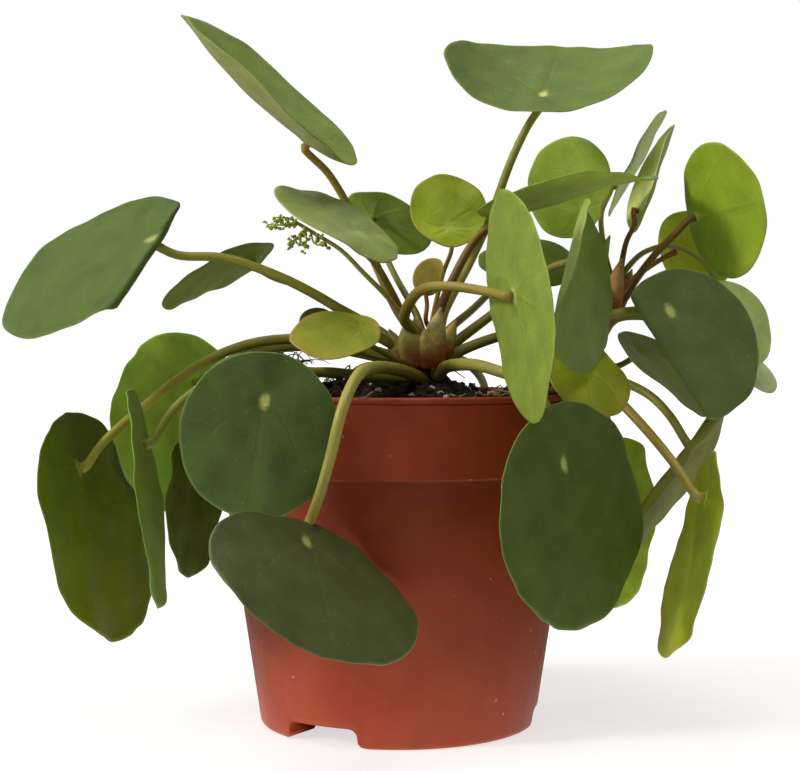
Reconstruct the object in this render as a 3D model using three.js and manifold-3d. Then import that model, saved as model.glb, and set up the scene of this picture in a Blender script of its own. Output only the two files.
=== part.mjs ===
// A Chinese money plant (Pilea peperomioides) in a terracotta-coloured nursery pot.
// Millimetres, +Z up. The origin is on the ground at the pot's axis, and -Y is the front.

import * as THREE from 'three';
import { mergeVertices } from 'three/addons/utils/BufferGeometryUtils.js';
import Module from 'manifold-3d';

const wasm = await Module();
wasm.setup();

// Pot: a moulded 12 cm nursery pot
const potHeight = 107;
const rimRadius = 60;
const rimBeadHeight = 2;
const rimBeadProud = 0.6;
const collarHeight = 24.5;
const collarFootRadius = 58.6;
const bodyTopRadius = 57;
const footRadius = 44.8;
const footChamfer = 1.8;
const potWall = 1.2;
const footRingInner = 31;
const footRingHeight = 6.3;
const floorRecess = 3;
const floorTop = 7.8;
const potSides = 48;
const drainCount = 3;
const drainWidth = 25;
const drainAzimuth = -122;
const drainHoleRadius = 4;
const drainHoleReach = 36;

// Compost: fills the pot, a little below the rim, heaped at the stems
const soilGap = 0.3;
const soilEdgeHeight = 103;
const soilHeap = 5.5;
const soilLump = 1.1;
const soilSides = 32;
const soilRings = 6;

// Woody stems, each a path from the foot to the top and a radius at both ends
const mainStem = { path: [[9, -2, 92], [9, -1.5, 108], [9, -1, 124]], radii: [6.2, 5.2] };
const sideStem = {
  path: [[46, 9, 92], [48, 9, 104], [57, 8, 116], [66, 6, 128], [70, 4, 141]],
  radii: [4.2, 3.4],
};
const stemSides = 12;
const stemSocketGap = 0.35;

// Blades and stalks
const bladeThickness = 0.8;
const hubShare = 0.36;
const stalkSides = 5;
const stalkGap = 0.3;
const stalkSeat = 3;
const degree = Math.PI / 180;

const colours = {
  mature: 0x3f5a2c,
  middle: 0x5f8038,
  young: 0x7fa02f,
  old: 0x8f9a28,
  red: 0x8a7a35,
  wood: 0x3a2a1c,
  pot: 0xa14a2c,
  compost: 0x2a211b,
};

// Each leaf: hub is where the stalk meets the blade, tip and face are the directions of the
// blade's end and of its upper side, and size is its length and width. A bend turns the blade
// down past a crease: [direction from the tip round to the side, distance of the crease from
// the hub, degrees turned, over how many millimetres]. wave is the height, number and phase of
// the rim's waves. stalk lists the points between the stem and the hub, from lists the stem,
// the azimuth and the height where it grows, and thick is its radius at the stem and the hub.
const leaves = [
  { name: 'leaf_top_left', colour: 'mature', hub: [-29.2, 4, 188.7], tip: [-0.76, 0.12, 0.61],
    face: [0.45, -0.35, 0.76], size: [75, 66.5], share: 0.22, wave: [0.6, 5, 20],
    bends: [[90, 0, -30, 8], [0, 10, -14, 40], [180, 2, -16, 12]],
    stalk: [[0, 4, 133], [-8, 9, 150], [-15, 12, 165], [-23, 9.5, 178.5]],
    from: ['main', 158, 124], thick: [1.8, 1.3] },
  { name: 'leaf_top_right', colour: 'mature', hub: [48.3, 15, 205.7], tip: [0.21, 0.84, 0.51],
    face: [-0.07, -0.51, 0.85], size: [57, 74.5], share: 0.28, wave: [0.3, 4, 60],
    bends: [[90, 5, -36, 30], [-90, 5, -34, 30]],
    stalk: [[15, 5, 133], [24, 15, 150], [31, 21, 165], [38, 20, 184], [43.5, 18, 195.5]],
    from: ['main', 18, 124], thick: [1.9, 1.4] },
  { name: 'leaf_far_left', colour: 'mature', hub: [-78.9, -9.9, 156.2], tip: [-0.89, 0.23, -0.39],
    face: [-0.44, -0.63, 0.65], size: [72.7, 53], share: 0.2, wave: [0.7, 5, 0],
    bends: [[146, 1.5, 172, 4], [0, 30, 8, 20]],
    stalk: [[-5, -6, 124], [-21, -7, 135], [-38, -7, 144], [-56, -7, 150], [-71, -7, 151]],
    from: ['main', -162, 120.5], thick: [1.7, 1.4] },
  { name: 'leaf_left_back', colour: 'mature', hub: [-51.5, 42, 152], tip: [-0.81, -0.4, -0.38],
    face: [-0.54, 0.19, 0.82], size: [45, 34], share: 0.2, wave: [0.4, 4, 40],
    bends: [[0, 12, 8, 20]],
    stalk: [[-6, 9, 127], [-22, 20, 136], [-34, 32, 142], [-45, 40, 146]],
    from: ['main', 150, 120.5], thick: [1.3, 1.0] },
  { name: 'leaf_centre_left', colour: 'mature', hub: [-15, -14, 158.8], tip: [-0.78, 0.29, 0.55],
    face: [0.47, -0.29, 0.83], size: [44, 46], share: 0.38, wave: [0.4, 4, 10],
    bends: [[180, 5, 20, 12], [0, 14, 10, 14]],
    stalk: [[2, -3, 131], [-2, -6, 139], [-8, -10, 149]],
    from: ['main', 210, 124], thick: [1.3, 1.0] },
  { name: 'leaf_centre_back', colour: 'mature', hub: [-8, 30, 166], tip: [0.92, -0.12, -0.38],
    face: [0.38, 0.52, 0.76], size: [32, 31], share: 0.34, wave: [0.4, 4, 80],
    bends: [[90, 0, 8, 16], [-90, 0, 8, 16]],
    stalk: [[6, 6, 132], [-1, 14, 145], [-6, 23, 156]],
    from: ['main', 106, 124], thick: [1.2, 0.9] },
  { name: 'leaf_centre_young', colour: 'young', hub: [16.4, 14.1, 161.8], tip: [0.03, 0.42, 0.91],
    face: [0.15, -0.9, 0.42], size: [27.1, 25.9], share: 0.29, wave: [0.5, 5, 30],
    bends: [[90, 2, -14, 12], [-90, 2, -14, 12]],
    stalk: [[12, 7, 134], [15, 15, 146], [18, 19, 155]],
    from: ['main', 68, 124], thick: [0.9, 0.8] },
  { name: 'leaf_centre_red', colour: 'red', hub: [10, 3, 140], tip: [0.1, 0.3, 0.95],
    face: [0.5, 0.8, -0.3], size: [13, 12], share: 0.15, wave: [0.2, 3, 0],
    bends: [[90, 1, 40, 5], [-90, 1, 30, 5]],
    stalk: [[9, 0, 130], [9.4, 1, 135]],
    from: ['main', 60, 124, 0.3], thick: [0.8, 0.7] },
  { name: 'leaf_centre_edge', colour: 'mature', hub: [33, -4, 166], tip: [0.98, -0.05, 0.17],
    face: [-0.18, 0.09, 0.98], size: [58, 52], share: 0.13, wave: [0.4, 4, 50],
    bends: [[40, 14, -16, 18], [-90, 4, -8, 12], [0, 30, 20, 20]],
    stalk: [[13, -4, 132], [18, -6, 144], [25, -6, 156]],
    from: ['main', 300, 124], thick: [1.7, 1.3] },
  { name: 'leaf_front_upright', colour: 'young', hub: [34.5, -58.6, 136.6], tip: [0.15, -0.48, -0.86],
    face: [0.93, 0.35, 0.11], size: [75, 42.4], share: 0.465, wave: [0.4, 5, 0],
    bends: [[-90, 12, -16, 6], [0, 24, 6, 20]],
    stalk: [[6, -10, 125], [2, -14, 130], [4, -21, 136], [8, -29, 139.5], [16, -37, 140], [25, -46, 138.5]],
    from: ['main', -112, 120.5], thick: [1.9, 1.4] },
  { name: 'leaf_right_blue', colour: 'mature', hub: [55.1, -28.1, 147.8], tip: [-0.06, -0.26, -0.94],
    face: [0.88, -0.51, 0.06], size: [54.5, 54], share: 0.36, wave: [0.3, 4, 20],
    bends: [[-112, 3, -40, 6]],
    stalk: [[20, 1, 124], [33, -4, 134], [44, -13, 143], [49, -22, 146.7]],
    from: ['main', 8, 120.5], thick: [1.9, 1.3] },
  { name: 'leaf_right_bright_back', colour: 'young', hub: [64.4, 45.1, 171.3], tip: [-0.58, 0.39, 0.72],
    face: [-0.65, -0.75, -0.1], size: [34, 37], share: 0.26, wave: [0.5, 4, 70],
    bends: [[90, 2, 8, 16], [-90, 2, 8, 16]],
    stalk: [[69, 18, 147], [69, 34, 155], [65, 46, 163]],
    from: ['side', 100, 136], thick: [1.2, 0.9] },
  { name: 'leaf_right_slim_high', colour: 'middle', hub: [78, 42, 176], tip: [0.49, 0.35, 0.79],
    face: [0.87, -0.17, -0.47], size: [43, 36], share: 0.22, wave: [0.3, 4, 0],
    bends: [[90, 2, 8, 16], [-90, 2, 8, 16]],
    stalk: [[69, 14, 152], [69, 27, 166], [73, 37, 174]],
    from: ['side', 85, 141], thick: [0.95, 0.9] },
  { name: 'leaf_right_slim_low', colour: 'middle', hub: [81, 14, 166], tip: [0.32, 0.25, 0.9],
    face: [0.93, 0.07, -0.35], size: [39, 32], share: 0.17, wave: [0.3, 4, 30],
    bends: [[90, 4, 34, 14], [-90, 4, 34, 14]],
    stalk: [[73, 4, 148], [75, 7, 156], [78, 10, 162]],
    from: ['side', -20, 141], thick: [0.95, 0.8] },
  { name: 'leaf_right_bright', colour: 'young', hub: [98, 5, 164], tip: [0.4, -0.92, 0.08],
    face: [0.89, 0.4, 0.21], size: [42, 44], share: 0.14, wave: [0.3, 4, 60],
    bends: [[90, 4, 8, 18], [-90, 4, 8, 18]],
    stalk: [[77, 0, 143], [83, 0, 151], [91, 2, 159]],
    from: ['side', -38, 136], thick: [1.4, 1.1] },
  { name: 'leaf_right_bright_behind', colour: 'young', hub: [95, 28, 154], tip: [0.67, -0.74, -0.03],
    face: [0.69, 0.61, 0.37], size: [30, 29], share: 0.25, wave: [0.4, 4, 0],
    bends: [[90, 0, 8, 14], [-90, 0, 8, 14]],
    stalk: [[76, 11, 142], [84, 20, 148], [91, 26, 152]],
    from: ['side', 45, 136], thick: [1.1, 0.9] },
  { name: 'leaf_right_dark', colour: 'mature', hub: [85, -22, 133], tip: [0.5, -0.06, -0.86],
    face: [0.25, -0.95, 0.21], size: [49, 46], share: 0.25, wave: [0.4, 5, 10],
    bends: [[-88, 7.5, 150, 3], [90, 8, 8, 16]],
    stalk: [[18, -4, 119], [30, -1, 124], [46, 0, 128], [62, -1, 131], [75, -6, 133], [82, -14, 133]],
    from: ['main', -18, 116.5], thick: [1.9, 1.5] },
  { name: 'leaf_right_pale_behind', colour: 'middle', hub: [107, 12, 137], tip: [0.48, -0.08, -0.87],
    face: [0.33, -0.91, 0.26], size: [31, 28], share: 0.2, wave: [0.4, 4, 50],
    bends: [[90, 0, 8, 14], [-90, 0, 8, 14]],
    stalk: [[75, 7, 147], [82, 12, 153], [92, 14, 155], [101, 14, 150], [106, 16, 143]],
    from: ['side', 35, 141], thick: [0.95, 0.8] },
  { name: 'leaf_far_right', colour: 'middle', hub: [111, 24, 126], tip: [0.64, -0.09, -0.76],
    face: [0.64, -0.47, 0.6], size: [32, 27], share: 0.2, wave: [0.3, 4, 0],
    bends: [[90, 0, 8, 12], [-90, 0, 8, 12]],
    stalk: [[72, 12, 130], [84, 17, 131], [98, 22, 128]],
    from: ['side', 40, 123], thick: [1.0, 0.8] },
  { name: 'leaf_right_folded', colour: 'mature', hub: [80, 12, 120], tip: [0.75, -0.05, -0.65],
    face: [0.58, -0.4, 0.71], size: [40, 36], share: 0.22, wave: [0.4, 4, 30],
    bends: [[90, 2, -8, 14], [-90, 2, -14, 14]],
    stalk: [[67, 11, 115], [73, 13, 115]],
    from: ['side', 20, 115.5], thick: [1.2, 1.0] },
  { name: 'leaf_yellow', colour: 'old', hub: [58.5, -21, 115], tip: [0.03, -0.77, -0.64],
    face: [0.33, -0.6, 0.73], size: [34, 29], share: 0.38, wave: [0.5, 5, 20],
    bends: [[0, 10, 14, 12]],
    stalk: [[49.5, -4, 113.5], [53, -11, 113]],
    from: ['side', -100, 113.5], thick: [1.2, 1.0] },
  { name: 'leaf_front_right', colour: 'mature', hub: [48.7, -58.6, 87.6], tip: [0.2, 0.09, -0.98],
    face: [0.71, -0.7, 0.09], size: [67, 65.5], share: 0.27, wave: [0.8, 6, 40],
    bends: [[90, 6, 3, 26], [-90, 6, 3, 26], [0, 20, 6, 26]],
    stalk: [[15, -11, 115], [24, -26, 116], [33, -37, 113.5], [38, -42, 112], [42.5, -46.5, 107],
      [46, -51, 97]],
    from: ['main', -55, 113], thick: [2.1, 1.5] },
  { name: 'leaf_front_right_behind', colour: 'young', hub: [76.3, 15, 80.5], tip: [-0.1, 0.1, -0.99],
    face: [0.84, 0.53, -0.05], size: [58, 36], share: 0.18, wave: [0.8, 6, 10],
    bends: [[90, 6, 8, 14], [-90, 6, 8, 14]],
    stalk: [[54, -2, 110.5], [59, -7, 110.3], [64.5, -9, 106.5], [67.5, -3, 99], [68.5, 5, 92], [69, 12, 86]],
    from: ['side', -75, 107], thick: [1.4, 1.1] },
  { name: 'leaf_low_right_edge', colour: 'mature', hub: [94.3, -16, 88.8], tip: [-0.61, -0.05, -0.78],
    face: [0.72, -0.46, -0.51], size: [60, 39], share: 0.24, wave: [0.5, 4, 0],
    bends: [[-90, 1.5, 166, 4], [90, 4, 6, 20]],
    stalk: [[66, 13, 112], [75, 11, 109.6], [82.4, 6, 105.7], [87.8, -2, 99.5]],
    from: ['side', 30, 110], thick: [1.7, 1.4] },
  { name: 'leaf_low_right', colour: 'middle', hub: [94.3, -38, 75.5], tip: [-0.1, 0.3, -0.95],
    face: [0.98, 0.1, -0.16], size: [69, 38], share: 0.22, wave: [0.6, 5, 0],
    bends: [[90, 8, 28, 20], [-90, 12, 22, 16], [0, 6, 16, 44]],
    stalk: [[62, -1, 110.5], [67, -4, 108.5], [72, -9, 103], [78.5, -19, 95], [84.5, -29, 86.5]],
    from: ['side', -30, 110.5], thick: [1.7, 1.4] },
  { name: 'leaf_left_round_behind', colour: 'middle', hub: [-73, 48, 108], tip: [-0.18, -0.35, -0.92],
    face: [-0.7, 0.7, -0.13], size: [64, 62], share: 0.27, wave: [0.8, 6, 0],
    bends: [[90, 0, 5, 26], [-90, 0, 5, 26]],
    stalk: [[-2, 6, 117], [-18, 18, 120], [-40, 32, 121], [-58, 40, 117]],
    from: ['main', 140, 116.5], thick: [1.7, 1.3] },
  { name: 'leaf_left_slim', colour: 'mature', hub: [-80, -28, 91], tip: [0.14, -0.2, -0.92],
    face: [-0.99, -0.02, -0.12], size: [68, 52], share: 0.26, wave: [0.6, 5, 30],
    bends: [[90, 0, 6, 26], [-90, 0, 6, 26]],
    stalk: [[-2, -5, 112.5], [-19, -9, 113], [-38, -15, 114], [-56, -20, 112], [-69, -24, 103]],
    from: ['main', -168, 112.5], thick: [1.7, 1.3] },
  { name: 'leaf_low_left', colour: 'middle', hub: [-104, -4, 82], tip: [0.25, 0.14, -0.96],
    face: [-0.94, 0.28, -0.2], size: [76, 72], share: 0.24, wave: [0.8, 6, 20],
    bends: [[90, 0, 6, 30], [-90, 0, 6, 30], [0, 20, 6, 28]],
    stalk: [[-1, 0, 118], [-16, 2, 122], [-34, 2, 124], [-50, 3, 122], [-66, 3, 115], [-84, 0, 101],
      [-96, -3, 90]],
    from: ['main', 185, 116.5], thick: [1.9, 1.4] },
  { name: 'leaf_low_left_inner', colour: 'mature', hub: [-71, 20, 77], tip: [0.03, -0.1, -0.98],
    face: [-0.95, 0.31, -0.1], size: [46, 40], share: 0.28, wave: [0.5, 5, 60],
    bends: [[90, 0, 8, 18], [-90, 0, 14, 18]],
    stalk: [[0, 5, 112], [-16, 11, 112.5], [-36, 17, 113], [-52, 21, 112.5], [-61, 23, 105], [-64, 22, 92]],
    from: ['main', 150, 112], thick: [1.5, 1.1] },
  { name: 'leaf_front_left', colour: 'mature', hub: [-38, -68.5, 106.3], tip: [-0.17, 0.2, -0.96],
    face: [0.09, -0.99, 0.01], size: [50.1, 45.7], share: 0.29, wave: [0.8, 6, 0],
    bends: [[90, 8, 5, 20], [-90, 4, 8, 24]],
    stalk: [[1, -10, 111], [-9, -21, 112], [-21, -37, 114], [-32, -53, 113]],
    from: ['main', -142, 109], thick: [1.8, 1.4] },
  { name: 'leaf_front_low', colour: 'mature', hub: [-25.9, -68, 66.3], tip: [0.25, -0.75, -0.6],
    face: [0.57, -0.39, 0.72], size: [51.6, 70.7], share: 0.17, wave: [0.7, 5, 20],
    bends: [[0, 10, 12, 30], [90, 8, 6, 24], [-90, 8, 6, 24]],
    stalk: [[6, -12, 112], [0, -25, 114.5], [-7, -43, 115.5], [-12, -61, 113],
      [-15.8, -70, 104.2], [-19.2, -69.5, 90.5], [-22.8, -64.3, 78.4], [-26, -59, 70]],
    from: ['main', -104, 111], thick: [2.1, 1.6] },
  { name: 'leaf_small_yellow', colour: 'old', hub: [-12, -28, 127], tip: [-0.94, -0.27, -0.19],
    face: [-0.02, -0.51, 0.86], size: [28, 26], share: 0.22, wave: [0.5, 4, 30],
    bends: [[90, 0, 6, 12], [-90, 0, -6, 12]],
    stalk: [[0, -10, 117], [-5, -18, 120]],
    from: ['main', 243, 115.5], thick: [1.1, 0.8] },
  { name: 'leaf_small_round', colour: 'middle', hub: [-25, -12, 128], tip: [-0.52, 0.4, 0.75],
    face: [0.04, -0.87, 0.49], size: [11, 11], share: 0.35, wave: [0.2, 3, 0],
    bends: [],
    stalk: [[-3, -7, 117.5], [-13, -8, 120], [-21, -9, 124]],
    from: ['main', 216, 116.5], thick: [0.9, 0.7] },
  { name: 'leaf_back_right', colour: 'mature', hub: [41, 40, 149], tip: [0.66, 0.67, 0.33],
    face: [0.05, -0.48, 0.88], size: [36, 35], share: 0.3, wave: [0.5, 4, 10],
    bends: [[90, 0, 8, 16], [-90, 0, 8, 16]],
    stalk: [[15, 6, 125], [25, 18, 134], [35, 33, 143]],
    from: ['main', 45, 120.5], thick: [1.5, 1.1] },
  { name: 'leaf_young_rolled', colour: 'young', hub: [67, -1, 145], tip: [0.12, -0.08, 0.99],
    face: [-0.94, 0.32, 0.14], size: [14, 8], share: 0.1, wave: [0.1, 3, 0],
    bends: [[90, 0, -50, 4], [-90, 0, -50, 4]],
    stalk: [[67.8, 0.4, 142.8]],
    from: ['side', -110, 141], thick: [0.8, 0.7] },
  { name: 'leaf_behind_left', colour: 'mature', hub: [-22, 74, 92], tip: [-0.1, 0.25, -0.96],
    face: [-0.15, 0.95, 0.25], size: [62, 58], share: 0.28, wave: [0.8, 6, 10],
    bends: [[90, 4, 10, 26], [-90, 4, 10, 26]],
    stalk: [[4, 12, 112], [-4, 26, 114], [-12, 44, 114], [-18, 60, 109], [-21, 68, 100]],
    from: ['main', 105, 112], thick: [1.8, 1.4] },
  { name: 'leaf_behind_right', colour: 'mature', hub: [34, 76, 84], tip: [0.1, 0.6, -0.8],
    face: [0.2, 0.78, 0.6], size: [64, 60], share: 0.3, wave: [0.8, 5, 40],
    bends: [[90, 4, 10, 26], [-90, 4, 10, 26]],
    stalk: [[14, 8, 116], [20, 24, 117], [26, 44, 114], [31, 61, 107], [33, 69, 96]],
    from: ['main', 62, 116.5], thick: [1.8, 1.4] },
];

// Flower spray: one thin stalk with loose side branches of tiny buds
const spray = {
  stalk: [[2, -8, 131], [-4, -12, 138], [-11, -16, 145], [-18, -18, 152], [-26, -19, 157], [-31, -20, 160]],
  from: ['main', 250, 124],
  thick: [0.9, 0.6],
  twigs: [[-41, -18, 160], [-38, -22, 162], [-29, -22, 152], [-34, -15, 154], [-22, -24, 153]],
  budRadius: 0.95,
  budsPerTwig: 6,
  seed: 7,
};

// Papery stipules at the tops of the stems: foot, point, width at the foot
const mainStipules = [
  [[10.6, -4.5, 113], [12.4, -9.4, 130], 3.4],
  [[12.6, -3.8, 120], [16.5, -7.4, 132], 2.6],
];
const sideStipules = [
  [[69, 1.8, 132], [71.5, -5, 149], 3.4],
];

// A seeded draw, so that every run gives the same heap and buds
function makeDraw(seed) {
  let state = seed;
  return () => {
    state = (state * 16807) % 2147483647;
    return state / 2147483647;
  };
}

function toSolid(geometry) {
  const bare = geometry.clone();
  bare.deleteAttribute('normal');
  bare.deleteAttribute('uv');
  const merged = mergeVertices(bare, 1e-4);
  return new wasm.Manifold(new wasm.Mesh({
    numProp: 3,
    vertProperties: new Float32Array(merged.attributes.position.array),
    triVerts: new Uint32Array(merged.index.array),
  }));
}

function toGeometry(solid) {
  const mesh = solid.getMesh();
  const geometry = new THREE.BufferGeometry();
  geometry.setAttribute('position', new THREE.BufferAttribute(mesh.vertProperties, 3));
  geometry.setIndex(new THREE.BufferAttribute(mesh.triVerts, 1));
  geometry.computeVertexNormals();
  return geometry;
}

function indexed(points, faces) {
  const geometry = new THREE.BufferGeometry();
  const numbers = points.flatMap((p) => [p.x, p.y, p.z]);
  geometry.setAttribute('position', new THREE.Float32BufferAttribute(numbers, 3));
  geometry.setIndex(faces.flat());
  return geometry;
}

// A round bar along a curve whose radius runs from one end to the other, closed at both ends
function taperedBar(points, radii, sides, stepLength) {
  const curve = new THREE.CatmullRomCurve3(points, false, 'centripetal');
  const steps = Math.max(2, Math.round(curve.getLength() / stepLength));
  const frames = curve.computeFrenetFrames(steps, false);
  const vertices = [];
  const faces = [];
  for (let i = 0; i <= steps; i += 1) {
    const t = i / steps;
    const centre = curve.getPointAt(t);
    const radius = radii[0] + (radii[1] - radii[0]) * t;
    for (let k = 0; k < sides; k += 1) {
      const angle = (2 * Math.PI * k) / sides;
      vertices.push(centre.clone()
        .addScaledVector(frames.normals[i], radius * Math.cos(angle))
        .addScaledVector(frames.binormals[i], radius * Math.sin(angle)));
    }
  }
  for (let i = 0; i < steps; i += 1) {
    for (let k = 0; k < sides; k += 1) {
      const a = i * sides + k;
      const b = i * sides + ((k + 1) % sides);
      faces.push([a, b, b + sides], [a, b + sides, a + sides]);
    }
  }
  const first = vertices.length;
  vertices.push(curve.getPointAt(0), curve.getPointAt(1));
  for (let k = 0; k < sides; k += 1) {
    const next = (k + 1) % sides;
    faces.push([first, next, k], [first + 1, steps * sides + k, steps * sides + next]);
  }
  return indexed(vertices, faces);
}

// Turns a point of the blade, [along the midrib, to the side, height], down past one crease
function bendPoint([u, v, w], [toward, start, turn, over]) {
  const c = Math.cos(toward * degree);
  const s = Math.sin(toward * degree);
  const past = u * c + v * s - start;
  if (past <= 0 || turn === 0) return [u, v, w];
  const across = v * c - u * s;
  const rate = (turn * degree) / over;
  const angle = Math.min(past, over) * rate;
  const straight = Math.max(past - over, 0);
  const reach = start + Math.sin(angle) / rate + straight * Math.cos(angle) + w * Math.sin(angle);
  const height = w * Math.cos(angle) - (1 - Math.cos(angle)) / rate - straight * Math.sin(angle);
  return [reach * c - across * s, reach * s + across * c, height];
}

// The blade's rim is an ellipse that holds the hub nearer its base end. Rings run from the hub
// to the rim, both faces share one grid, and the rim's waves grow with the distance from the hub.
function bladeGeometry(leaf) {
  const [length, width] = leaf.size;
  const share = leaf.share ?? hubShare;
  const around = Math.max(12, Math.min(20, 2 * Math.round(width / 6 + 1)));
  const rings = length > 30 ? [0.4, 0.75, 1] : [0.55, 1];
  const tip = new THREE.Vector3(...leaf.tip).normalize();
  const face = new THREE.Vector3(...leaf.face);
  face.addScaledVector(tip, -face.dot(tip)).normalize();
  const side = new THREE.Vector3().crossVectors(face, tip);
  const hub = new THREE.Vector3(...leaf.hub);
  const [waveHeight, waveCount, wavePhase] = leaf.wave;

  const place = (ring, angle) => {
    const rimU = length * (0.5 - share) + 0.5 * length * Math.cos(angle);
    const rimV = 0.5 * width * Math.sin(angle);
    const wave = waveHeight * ring * ring * Math.sin(waveCount * angle + wavePhase * degree);
    let point = [ring * rimU, ring * rimV, wave];
    for (const bend of leaf.bends) point = bendPoint(point, bend);
    return hub.clone()
      .addScaledVector(tip, point[0])
      .addScaledVector(side, point[1])
      .addScaledVector(face, point[2]);
  };

  const middle = [hub.clone()];
  for (const ring of rings) {
    for (let k = 0; k < around; k += 1) middle.push(place(ring, (2 * Math.PI * k) / around));
  }
  const sheet = [];
  for (let k = 0; k < around; k += 1) {
    const next = (k + 1) % around;
    sheet.push([0, 1 + k, 1 + next]);
    for (let r = 0; r + 1 < rings.length; r += 1) {
      const a = 1 + r * around;
      const b = a + around;
      sheet.push([a + k, b + k, b + next], [a + k, b + next, a + next]);
    }
  }
  const normals = middle.map(() => new THREE.Vector3());
  for (const [a, b, c] of sheet) {
    const edge = middle[b].clone().sub(middle[a]);
    const area = edge.cross(middle[c].clone().sub(middle[a]));
    for (const k of [a, b, c]) normals[k].add(area);
  }
  const half = bladeThickness / 2;
  const upper = middle.map((p, k) => p.clone().addScaledVector(normals[k].normalize(), half));
  const lower = middle.map((p, k) => p.clone().addScaledVector(normals[k], -half));
  const count = middle.length;
  const rim = count - around;
  const faces = [];
  for (const [a, b, c] of sheet) faces.push([a, b, c], [count + a, count + c, count + b]);
  for (let k = 0; k < around; k += 1) {
    const a = rim + k;
    const b = rim + ((k + 1) % around);
    faces.push([a, count + a, count + b], [a, count + b, b]);
  }
  return indexed([...upper, ...lower], faces);
}

const stems = { main: mainStem, side: sideStem };

function stemCurve(stem) {
  return new THREE.CatmullRomCurve3(stem.path.map((p) => new THREE.Vector3(...p)), false, 'centripetal');
}

// Where a stalk grows: on the stem's flank, or on its top when the height is the top's.
function stalkStart([stemName, azimuth, height, inset], radius) {
  const stem = stems[stemName];
  const curve = stemCurve(stem);
  let share = 0;
  while (share < 1 && curve.getPointAt(Math.min(share, 1)).z < height) share += 0.01;
  share = Math.min(share, 1);
  const centre = curve.getPointAt(share);
  const axis = curve.getTangentAt(share);
  const stemRadius = stem.radii[0] + (stem.radii[1] - stem.radii[0]) * share;
  const out = new THREE.Vector3(Math.cos(azimuth * degree), Math.sin(azimuth * degree), 0);
  out.addScaledVector(axis, -out.dot(axis)).normalize();
  if (share < 1) {
    const start = centre.clone().addScaledVector(out, stemRadius + stalkGap);
    return [start, start.clone().addScaledVector(out, 1.5)];
  }
  const seat = inset ?? stemRadius - radius * 0.7;
  const start = centre.clone().addScaledVector(out, seat).addScaledVector(axis, stalkGap + 0.15);
  return [start, start.clone().add(new THREE.Vector3(out.x * 0.3, out.y * 0.3, 1.5))];
}

function leafGeometry(leaf) {
  const tip = new THREE.Vector3(...leaf.tip).normalize();
  const face = new THREE.Vector3(...leaf.face);
  face.addScaledVector(tip, -face.dot(tip)).normalize();
  const hub = new THREE.Vector3(...leaf.hub);
  const seat = Math.min(stalkSeat, 0.1 * leaf.size[0] + 1);
  const points = [
    ...stalkStart(leaf.from, leaf.thick[0]),
    ...leaf.stalk.map((p) => new THREE.Vector3(...p)),
    hub.clone().addScaledVector(face, -seat),
    hub,
  ];
  const bar = taperedBar(points, leaf.thick, stalkSides, leaf.size[0] > 30 ? 11 : 6);
  const solid = toSolid(bladeGeometry(leaf)).add(toSolid(bar));
  return toGeometry(solid);
}

// A stem: a tapered bar with its stipules, which are flat pointed scales
function stemGeometry(stem, stipules) {
  const points = stem.path.map((p) => new THREE.Vector3(...p));
  let solid = toSolid(taperedBar(points, stem.radii, stemSides, 7));
  for (const [foot, point, width] of stipules) {
    const ends = [foot, point].map((p) => new THREE.Vector3(...p));
    const scale = toSolid(taperedBar(ends, [width / 2, 0.3], 5, 40));
    solid = solid.add(scale);
  }
  return toGeometry(solid);
}

function sprayGeometry() {
  const draw = makeDraw(spray.seed);
  const points = [
    ...stalkStart(spray.from, spray.thick[0]),
    ...spray.stalk.map((p) => new THREE.Vector3(...p)),
  ];
  let solid = toSolid(taperedBar(points, spray.thick, 5, 8));
  const end = points[points.length - 1];
  const knot = points[points.length - 2];
  const parts = [];
  spray.twigs.forEach((tip, index) => {
    const root = end.clone().lerp(knot, 0.18 * index);
    const reach = new THREE.Vector3(...tip);
    parts.push(toSolid(taperedBar([root, reach], [0.6, 0.5], 4, 40)));
    for (let k = 1; k <= spray.budsPerTwig; k += 1) {
      const at = root.clone().lerp(reach, k / spray.budsPerTwig);
      at.x += (draw() - 0.5) * 1.4;
      at.y += (draw() - 0.5) * 1.4;
      at.z += (draw() - 0.5) * 1.4;
      const bud = new THREE.OctahedronGeometry(spray.budRadius * (0.8 + 0.4 * draw()));
      parts.push(toSolid(bud.translate(at.x, at.y, at.z)));
    }
  });
  for (const part of parts) solid = solid.add(part);
  return toGeometry(solid);
}

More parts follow.
